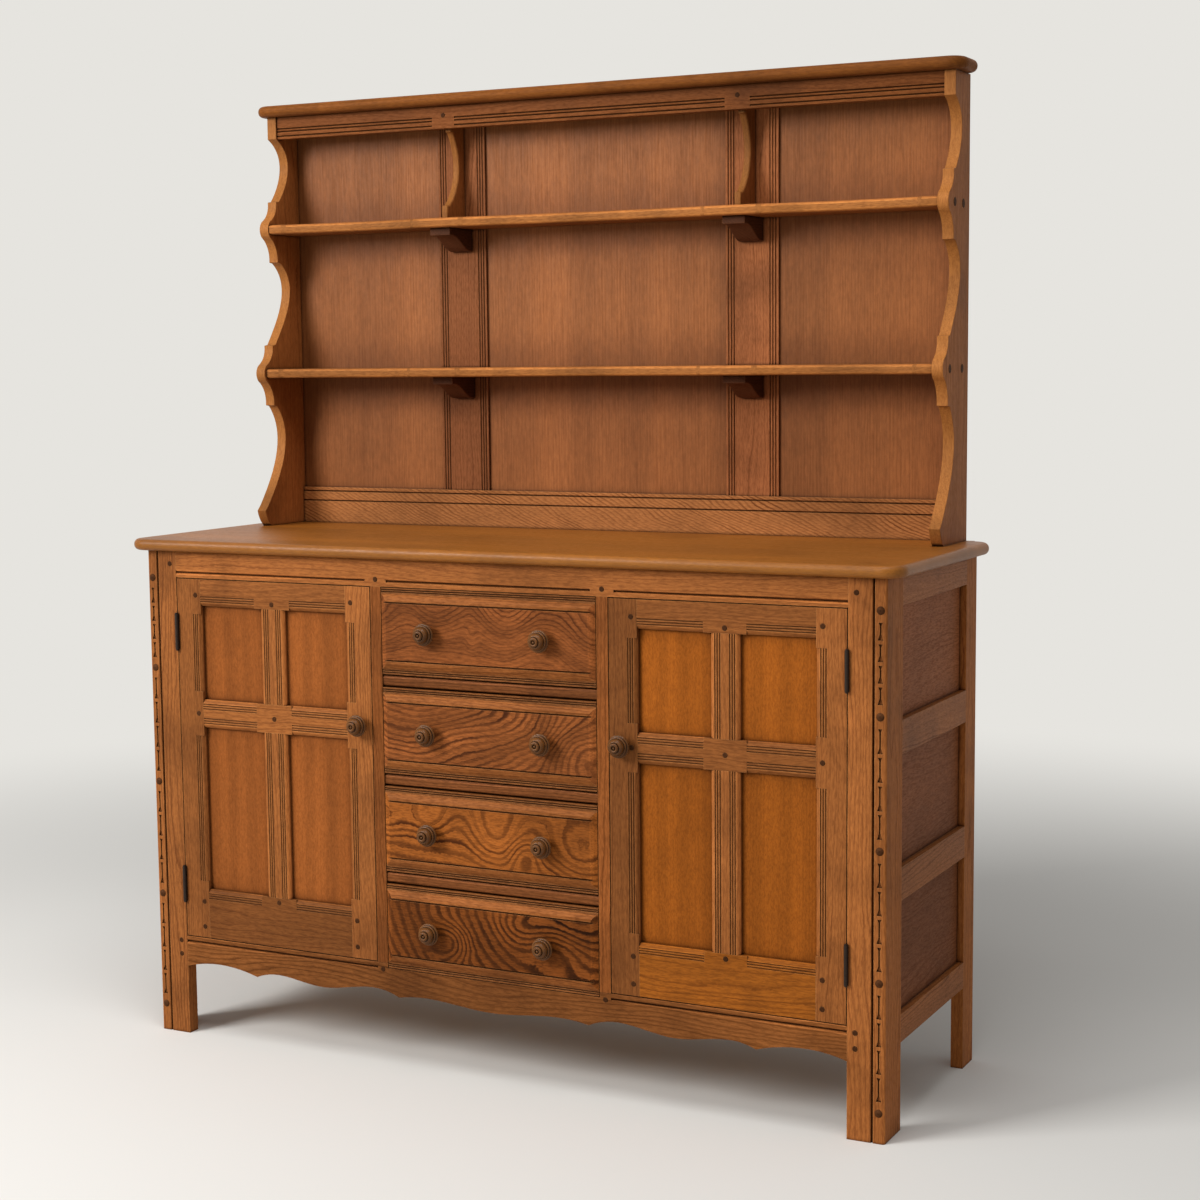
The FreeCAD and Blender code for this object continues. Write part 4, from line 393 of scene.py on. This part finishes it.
def bead_edge(edge):
    """The long edges along the front of a rail, the lips of its groove among them."""
    front = all(vert.co.y < FRAME_FACE + WELD_MM * MM for vert in edge.verts)
    return front and edge.is_convex and edge.calc_length() > BEAD_SHORTEST_MM * MM


planed("top_rail", level_elm, BEAD_EASE_MM, bead_edge, tones=((0, 810, 1.1),))
APRON_ELM = {**DARK_ELM, "pale": "#8A5328", "deep": "#4E280B"}
APRON_KNOTS = ((560, 110, 300, 240, 2.0, 0.5), (0, 140, 320, 140, 1.5, -0.16),
               (-560, 110, 260, 240, 1.5, 0.24))
apron_elm = waxed_timber("dark_elm_apron", grain="X", band_mm=9.0, wander=9.0, contrast=1.0, even=0.4,
                         knots=APRON_KNOTS, **APRON_ELM)
planed("apron", apron_elm, BEAD_EASE_MM, bead_edge)

# Pegs and studs. Riven oak pegs driven through the joints stand a little proud, turned studs sit on
# the carved strips, and round plugs hide the fixings in the rack ends. End grain drinks stain and goes dark.
PEG_EASE_MM = 0.7


def end_grain(name, pale, deep, shade_and_wax_colour, worn, ring_mm, gloss, roughness):
    """Dark end grain or turned wood under wax: close rings and specks, rubbed brighter on its edges."""
    return waxed_timber(name, pale, deep, shade_and_wax_colour, "Y", ring_mm, 2.0, contrast=0.5, roughness=roughness,
                        worn=worn, stretch=0.4, gloss=gloss, crevice=5.0)


def rim(edge):
    """A sharp outer edge."""
    return edge.is_convex and edge.calc_face_angle(0) > SHARP_EDGE


peg_oak = end_grain("dark_oak_peg", "#4C2E1A", "#321C0D", "#1A0C05", "#5E3C24", 2.5, 0.03, 0.5)
for pins in ("frame_pegs", "end_plugs", "left_door_pegs", "right_door_pegs"):
    planed(pins, peg_oak, PEG_EASE_MM, rim)
planed("post_studs", peg_oak)

# Inside and back of the base. Plain sawn oak that never saw stain: floor, partitions, shelves on cleats,
# drawer runners and stops, and a thin back panel between two rails. It is pale, dry and dull.
PLAIN_OAK = {"pale": "#A97E50", "deep": "#8E6539", "shade_and_wax_colour": "#4A3018", "worn": "#B58B5E", "band_mm": 9.0,
             "wander": 10.0, "roughness": 0.62, "contrast": 0.6, "smears": 0.1}
plain_oak = waxed_timber("plain_sawn_oak", grain="X", **PLAIN_OAK)
plain_oak_runner = waxed_timber("plain_sawn_oak_runner", grain="Y", **PLAIN_OAK)
plain_oak_upright = waxed_timber("plain_sawn_oak_upright", grain="Z", **PLAIN_OAK)
for level in ("base_floor", "cupboard_shelves", "base_back_rails", "base_back_panel"):
    planed(level, plain_oak)
for runner in ("drawer_runners", "shelf_cleats", "drawer_stops"):
    planed(runner, plain_oak_runner)
for upright in ("partitions", "door_stops"):
    planed(upright, plain_oak_upright)

# Counter. One wide elm board, its edge and front corners rounded over, rubbed to a honey colour by use.
# It is the smoothest and shiniest timber of the dresser.
counter_elm = waxed_timber("waxed_elm_counter", "#9E5F20", "#7C4816", "#32170A", "X", 16.0, 12.0,
                           contrast=0.7, roughness=0.36, worn="#9C611F", slope=(0.0, 1.0, 0.8), gloss=0.24,
                           bright="Z", smears=0.2)
planed("counter_top", counter_elm, even_edges=True)

# Doors. Two stiles, three rails and two muntins with a sloped moulding round each panel, pegged together.
# The four panels are thin oak, straight grained and golden, with faint streaks, and painted shade along their
# edges.
PANEL_FIGURE = {"grain": "Z", "band_mm": 6.0, "wander": 5.0, "contrast": 0.35, "stretch": 0.06, "pore": 0.36,
                "jag": 0.5, "frame_shade": 0.55, "pore_long": 0.3, "mottle": 0.13, "smears": 0.15, "zones": 0.07}
PANEL_OAK = {"left": waxed_timber("waxed_oak_left_panel", "#9C5826", "#743B14", "#301506", **PANEL_FIGURE),
             "right": waxed_timber("waxed_oak_right_panel", "#9F5718", "#70360A", "#2E1404", **PANEL_FIGURE)}
golden_elm = waxed_timber("golden_elm_door_rail", "#A25C1C", "#5E2F0C", "#3A1B09", "X", 8.0, 9.0,
                          worn="#C08044")
DOOR_TONES = {
    "left": {"stiles": ((-238, 480, 1.06), (-573, 480, 0.76)),
             "rails": ((-405, 215, 0.66), (-405, 559, 0.98), (-405, 764, 0.92)),
             "muntins": (),
             "panels": ((-405, 660, 0.92), (-405, 380, 0.94))},
    "right": {"stiles": ((238, 480, 0.62), (573, 480, 0.98)),
              "rails": ((405, 215, 1.0), (405, 559, 0.78), (405, 764, 0.8)),
              "muntins": ((405, 480, 1.08),),
              "panels": ((405, 660, 1.08), (405, 380, 0.92))},
}
GOLDEN_BELOW_MM = 300.0


def golden(face):
    """The bottom rail of the right door, which came from a more golden board than the others."""
    return face.calc_center_median().z < GOLDEN_BELOW_MM * MM


DOOR_RAIL_TRIM = {"left": {}, "right": {"trim": golden_elm, "trimmed": golden}}

# Each knob bead is (radius and reach of its middle, its own radius, first and last angle, foot of its quirk)
KNOB_STEPS = 40
BEAD_CUTS = 8
KNOB_NECK_MM = ((8.8, 0.0), (7.4, 2.2), (7.4, 7.0), (10.0, 10.4), (14.4, 12.2))
KNOB_BEADS_MM = ((15.7, 13.8, 2.3, -65, 80, (13.6, 16.6)), (14.0, 18.4, 1.9, -50, 90, (11.2, 20.2)),
                 (4.6, 20.6, 8.8, 4, 62, (6.4, 27.2)), (5.4, 29.6, 2.3, -40, 150, (2.6, 28.2)),
                 (0.4, 29.2, 2.0, 0, 90, (0.0, 31.2)))
# The knob's pale edge colour is partly wear and partly a painted highlight on its rings
knob_wood = end_grain("turned_dark_knob", "#613C1B", "#40250F", "#0C0502", "#A87440", 3.0, 0.2, 0.27)


def turned_knobs(name, places, node):
    """Knobs turned on a lathe: a hollow neck, two thin rims, a dome, and a ring round a button."""
    outline = list(KNOB_NECK_MM)
    for radius, out, size, first, last, quirk in KNOB_BEADS_MM:
        for cut in range(BEAD_CUTS):
            angle = math.radians(first + (last - first) * cut / (BEAD_CUTS - 1))
            outline.append((radius + size * math.cos(angle), out + size * math.sin(angle)))
        outline.append(quirk)
    knobs = bmesh.new()
    for x, y, z in places:
        verts = [knobs.verts.new((x + r * MM, y - d * MM, z)) for r, d in outline]
        edges = [knobs.edges.new(pair) for pair in zip(verts, verts[1:])]
        bmesh.ops.spin(knobs, geom=verts + edges, cent=(x, y, z), axis=(0, 1, 0), angle=2 * math.pi,
                       steps=KNOB_STEPS, use_merge=True)
    bmesh.ops.remove_doubles(knobs, verts=knobs.verts, dist=WELD_MM * MM)
    bmesh.ops.recalc_face_normals(knobs, faces=knobs.faces)
    for edge in knobs.edges:
        edge.smooth = len(edge.link_faces) == 2 and edge.calc_face_angle(math.pi) < 2 * SHARP_EDGE
    for face in knobs.faces:
        face.smooth = True
    return fitted(name, knobs, knob_wood, node)


for side in ("left", "right"):
    door = side + "_door"
    planed(door + "_stiles", upright_elm, tones=DOOR_TONES[side]["stiles"])
    planed(door + "_rails", level_elm, tones=DOOR_TONES[side]["rails"], **DOOR_RAIL_TRIM[side])
    planed(door + "_muntins", upright_elm, tones=DOOR_TONES[side]["muntins"])
    planed(door + "_panels", PANEL_OAK[side], tones=DOOR_TONES[side]["panels"])
    low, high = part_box(door + "_knob")
    centre = (low + high) / 2
    face_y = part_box(door + "_stiles")[0].y
    turned_knobs(door + "_turned_knob", [(centre.x, face_y, centre.z)], door + "_knob")

# Hinges. Small butt hinges of black iron, a leaf let into the stile and one into the door on a loose pin.
# Forge scale leaves the iron nearly black, with brown patches and small pits.
SCALE_MM = 2.5
PIT_MM = 0.2
iron = bare_material("black_iron_hinge")
tree = iron.node_tree
place = add(tree, "TexCoord")["Object"]
scale_skin = add(tree, "TexNoise", {"Vector": place, "Scale": 1 / (SCALE_MM * MM), "Detail": 4.0})["Fac"]
dull = add(tree, "MapRange", {"Value": scale_skin, "To Min": 0.42, "To Max": 0.7})["Result"]
blued = add(tree, "Mix", {0: scale_skin, 6: linear("#1B1512"), 7: linear("#3A2C22")}, data_type="RGBA")[2]
pits = add(tree, "Bump", {"Height": scale_skin, "Strength": 0.3, "Distance": PIT_MM * MM})["Normal"]
skin = add(tree, "BsdfPrincipled", {"Base Color": blued, "Roughness": dull, "Metallic": 0.7,
                                    "Normal": pits})["BSDF"]
add(tree, "OutputMaterial", {"Surface": skin})
for leaf in ("hinge_frame_leaves", "hinge_pins", "left_door_hinge_leaves", "right_door_hinge_leaves"):
    planed(leaf, iron)

# Drawers. Each front is one board of burry elm with a raised field, sloped bands and beads, and two knobs.
# Its figure is its own: knots that the bands flow round. The box behind is plain oak, lapped and housed.
# The bold figure reads as dark brown waves on the fields, and the beads above and below stay plain.
DRAWER_TIMBER = (
    {"pale": "#955428", "deep": "#3C1A08", "band_mm": 9.5, "wander": 2.4, "slope": (0.1, 0.4, 1.0),
     "even": 0.3, "zones": 0.12, "late": 0.34,
     "knots": ((-195, 730, 80, 90, 5.0, -0.1), (-92, 760, 75, 90, 4.4, 0.0), (-23, 712, 18, 34, 1.6, 0.1),
               (38, 765, 70, 110, 5.0, 0.08), (105, 690, 90, 60, -3.0, 0.0), (190, 725, 80, 70, 4.0, -0.06))},
    {"pale": "#9E5A2B", "deep": "#361708", "band_mm": 14.0, "wander": 3.4, "heart": (-130, 668, 1.5),
     "even": 0.45, "zones": 0.12, "late": 0.62,
     "knots": ((160, 545, 80, 60, 3.6, -0.1), (-60, 560, 90, 60, 1.6, 0.06), (60, 585, 80, 50, -1.6, 0.06))},
    {"pale": "#A65E25", "deep": "#3C1A06", "band_mm": 21.0, "wander": 1.2, "slope": (0.1, 0.4, 1.0),
     "even": 0.4, "late": 0.66,
     "knots": ((-190, 414, 70, 44, 2.2, 0.2), (-110, 420, 60, 50, 2.2, 0.2), (15, 404, 70, 80, 3.2, 0.28),
               (66, 376, 44, 40, -2.0, 0.0), (168, 384, 96, 76, 3.6, -0.12))},
    {"pale": "#8E4D1D", "deep": "#200C02", "band_mm": 17.0, "wander": 2.0, "heart": (165, 350, 1.0),
     "even": 0.8, "late": 0.72, "zones": 0.08,
     "knots": ((-72, 222, 56, 46, 3.4, 0.12), (120, 230, 90, 50, 2.4, -0.14), (60, 262, 70, 46, -1.6, 0.14))},
)
bead_elm = waxed_timber("waxed_elm_drawer_bead", "#8E5428", "#4E260D", "#2A1105", "X", 6.0, 7.0,
                        worn="#BC8450", contrast=0.8, pore=0.45, crevice=2.5)
FIELD_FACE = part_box("drawer_1_front")[0].y
FIELD_PROUD_MM = 4.5
BEAD_SLOPE = 0.15


def beaded(face):
    """The beads and round bands above and below a drawer's field, whose figure is plain."""
    behind = face.calc_center_median().y > FIELD_FACE + FIELD_PROUD_MM * MM
    return abs(face.normal.z) > BEAD_SLOPE or behind


for number, timber in enumerate(DRAWER_TIMBER, start=1):
    drawer = "drawer_" + str(number)
    figured_elm = waxed_timber("figured_elm_" + drawer, shade_and_wax_colour="#220E04", grain="X", worn="#BC7A44",
                               stretch=0.35, contrast=1.0, jag=0.4, smears=0.2, **timber)
    planed(drawer + "_front", figured_elm, trim=bead_elm, trimmed=beaded)
    planed(drawer + "_box", plain_oak_runner)
    low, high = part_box(drawer + "_knobs")
    reach = (high.z - low.z) / 2
    middle_z = (low.z + high.z) / 2
    knob_row = [(x, FIELD_FACE, middle_z) for x in (low.x + reach, high.x - reach)]
    turned_knobs(drawer + "_turned_knobs", knob_row, drawer + "_knobs")

# Plate rack. Two shaped ends, two scalloped shelves, dividers, brackets, a grooved frieze under a rounded
# cornice, and a back of three panels between reeded muntins. Elm, with redder oak panels.
# Front edges are rubbed paler than the faces, and the brackets are coloured nearly black, a painted shade for
# the shadow of the shelves above them.
RACK_EASE_MM = 4.5
SHELF_EASE_MM = 4.5
BRACKET_EASE_MM = 1.5
BACK_EDGE_MM = 22.0
SHELF_BACK_MM = 80.0
SIDEWAYS = 0.1
SQUARE = 0.99
RACK_ELM = {"pale": "#93592C", "deep": "#663717", "shade_and_wax_colour": "#220F06"}
rack_end_elm = waxed_timber("waxed_elm_rack_end", grain="Z", band_mm=9.0, wander=8.0, bright="X",
                            worn="#94602E", gloss=0.08, **RACK_ELM)
shelf_elm = waxed_timber("waxed_elm_rack_shelf", grain="X", band_mm=8.0, wander=8.0, bright="Z",
                         worn="#AF7038", **RACK_ELM)
# Painted shade: the brackets' near-black colour stands for the shadow under the shelves
shade_dark_bracket_elm = waxed_timber("shade_painted_elm_bracket", "#593420", "#3C2011", "#170A04", "Y", 6.0, 5.0, worn="#7A5236")
cornice_elm = waxed_timber("waxed_elm_cornice", "#8A5226", "#5C3012", "#241005", "X", 8.0, 8.0, bright="Z",
                           worn="#834B18")
foot_rail_elm = waxed_timber("waxed_elm_foot_rail", "#BC7A45", "#6C3A19", "#2A1206", "X", 6.0, 7.0,
                             stretch=0.25, slope=(0.45, 0.4, 1.0), worn="#BD8350", contrast=1.0, even=0.4,
                             late=0.45)
muntin_elm = waxed_timber("waxed_elm_rack_muntin", "#925833", "#5C3016", "#241008", "Z", 7.0, 9.0,
                          worn="#A86C40", contrast=0.9)
# The rack panels too get painted shade towards the frame round them.
rack_oak = waxed_timber("waxed_oak_rack_panel", "#9C5F33", "#713D1A", "#34170A", "Z", 6.0, 7.0,
                        contrast=0.45, roughness=0.42, stretch=0.02, pore=0.28, jag=0.25, gloss=0.11,
                        frame_shade=0.35, pore_long=0.03, mottle=0.14, smears=0.1)
RACK_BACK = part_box("rack_ends")[1].y


def shaped_front(edge):
    """The long curved front edges of an upright board, between its sides and its cut outline."""
    middle = (edge.verts[0].co + edge.verts[1].co) / 2
    sides = sorted(abs(face.normal.x) for face in edge.link_faces)
    corner = sides[0] < SIDEWAYS and sides[1] > SQUARE
    return corner and edge.is_convex and middle.y < RACK_BACK - BACK_EDGE_MM * MM


def shelf_front(edge):
    """The top and bottom edges along the scalloped front of a shelf."""
    middle = (edge.verts[0].co + edge.verts[1].co) / 2
    tops = sorted(abs(face.normal.z) for face in edge.link_faces)
    corner = tops[0] < SIDEWAYS and tops[1] > SQUARE
    return corner and edge.is_convex and middle.y < RACK_BACK - SHELF_BACK_MM * MM


# The rack ends are toned lighter: painted light on their shaded inner and outer faces.
planed("rack_ends", rack_end_elm, RACK_EASE_MM, shaped_front, tones=((-630, 1217, 1.3), (630, 1217, 1.38)),
       even_edges=True)
planed("rack_dividers", rack_end_elm, RACK_EASE_MM, shaped_front, even_edges=True)
planed("shelf_brackets", shade_dark_bracket_elm, BRACKET_EASE_MM, rim)
planed("upper_shelf", shelf_elm, SHELF_EASE_MM, shelf_front)
planed("lower_shelf", shelf_elm, SHELF_EASE_MM, shelf_front)
planed("cornice", cornice_elm, even_edges=True)
planed("frieze", dark_level_elm)
planed("rack_foot_rail", foot_rail_elm)
planed("rack_muntins", muntin_elm, tones=((-275, 1217, 1.0), (275, 1217, 1.42)))
planed("rack_panels", rack_oak, tones=((-430, 1217, 0.93), (0, 1217, 0.98), (430, 1217, 0.93)))

# Floor. A plain pale sheet of paper that takes the dresser's shadow and fades into the backdrop.
# Matt paper has no shine, so it shows the shadow and little else.
PALE = linear("#E6E4DF")
FLOOR_HALF = 9.0
FADE_START = 1.3
FADE_END = 3.4


def seen_directly(tree):
    """1 for what the eye sees, straight or by a shiny or clear surface, and 0 for what only gives light."""
    ray = add(tree, "LightPath")
    seen = add(tree, "Math", {0: ray["Is Camera Ray"], 1: ray["Is Glossy Ray"]}, operation="MAXIMUM")["Value"]
    return add(tree, "Math", {0: seen, 1: ray["Is Transmission Ray"]}, operation="MAXIMUM")["Value"]


sheet = bmesh.new()
bmesh.ops.create_grid(sheet, x_segments=1, y_segments=1, size=FLOOR_HALF)
mesh = bpy.data.meshes.new("studio_floor")
sheet.to_mesh(mesh)
sheet.free()
floor = bpy.data.objects.new("studio_floor", mesh)
bpy.context.scene.collection.objects.link(floor)
paper = bare_material("pale_paper_floor")
tree = paper.node_tree
place = add(tree, "TexCoord")["Object"]
away = add(tree, "VectorMath", {0: place}, operation="LENGTH")["Value"]
fade = add(tree, "MapRange", {"Value": away, "From Min": FADE_START, "From Max": FADE_END},
           interpolation_type="SMOOTHSTEP")["Result"]
fade = add(tree, "Math", {0: fade, 1: seen_directly(tree)}, operation="MULTIPLY")["Value"]
lit = add(tree, "BsdfDiffuse", {"Color": PALE})["BSDF"]
glow = add(tree, "Emission", {"Color": PALE})["Emission"]
shown = add(tree, "MixShader", {0: fade, 1: lit, 2: glow})["Shader"]
add(tree, "OutputMaterial", {"Surface": shown})
mesh.materials.append(paper)

# Studio light. A wide soft lamp in front, high and to the left, a weak one overhead, and an even fill
# from the surroundings.
FILL = 0.31
KEY_PLACE = Vector((-2.2, -3.0, 2.5))
KEY_AIM = Vector((0.0, -0.1, 0.8))
KEY_WATTS = 148
KEY_SIZE = 1.7
CEILING_PLACE = Vector((0.5, -1.0, 3.2))
CEILING_AIM = Vector((0.3, -0.2, 0.8))
CEILING_WATTS = 32
CEILING_SIZE = 1.4
world = bpy.data.worlds.new("studio")
bpy.context.scene.world = world
world.use_nodes = True
tree = world.node_tree
tree.nodes.clear()
fill = add(tree, "Background", {"Color": linear("#FFFFFF"), "Strength": FILL})["Background"]
shown = add(tree, "Background", {"Color": PALE, "Strength": 1.0})["Background"]
surroundings = add(tree, "MixShader", {0: seen_directly(tree), 1: fill, 2: shown})["Shader"]
add(tree, "OutputWorld", {"Surface": surroundings})
LAMPS = (("key", KEY_PLACE, KEY_AIM, KEY_WATTS, KEY_SIZE),
         ("ceiling", CEILING_PLACE, CEILING_AIM, CEILING_WATTS, CEILING_SIZE))
for name, spot, aim, watts, size in LAMPS:
    light = bpy.data.lights.new(name, "AREA")
    light.energy = watts
    light.size = size
    lamp = bpy.data.objects.new(name, light)
    lamp.location = spot
    lamp.rotation_euler = (aim - spot).to_track_quat("-Z", "Y").to_euler()
    bpy.context.scene.collection.objects.link(lamp)

# Camera. Where the photograph was taken from: right of the middle, at chest height, looking slightly down.
# The place and the three turns were solved from the straight edges of the dresser.
EYE = Vector((1.6679, -3.1002, 1.1445))
TURN_LEFT = 0.4680
LOOK_DOWN = 0.1107
ROLL = -0.0097
LENS_MM = 64.79
SENSOR_MM = 36.0
ahead = Vector((-math.sin(TURN_LEFT) * math.cos(LOOK_DOWN), math.cos(TURN_LEFT) * math.cos(LOOK_DOWN),
                -math.sin(LOOK_DOWN)))
level_right = Vector((math.cos(TURN_LEFT), math.sin(TURN_LEFT), 0.0))
level_up = level_right.cross(ahead)
right = level_right * math.cos(ROLL) + level_up * math.sin(ROLL)
up = level_up * math.cos(ROLL) - level_right * math.sin(ROLL)
view = bpy.data.cameras.new("view")
view.lens = LENS_MM
view.sensor_width = SENSOR_MM
camera = bpy.data.objects.new("view", view)
camera.matrix_world = Matrix.Translation(EYE) @ Matrix((right, up, -ahead)).transposed().to_4x4()
bpy.context.scene.collection.objects.link(camera)
bpy.context.scene.camera = camera
bpy.context.scene.view_settings.view_transform = "Standard"
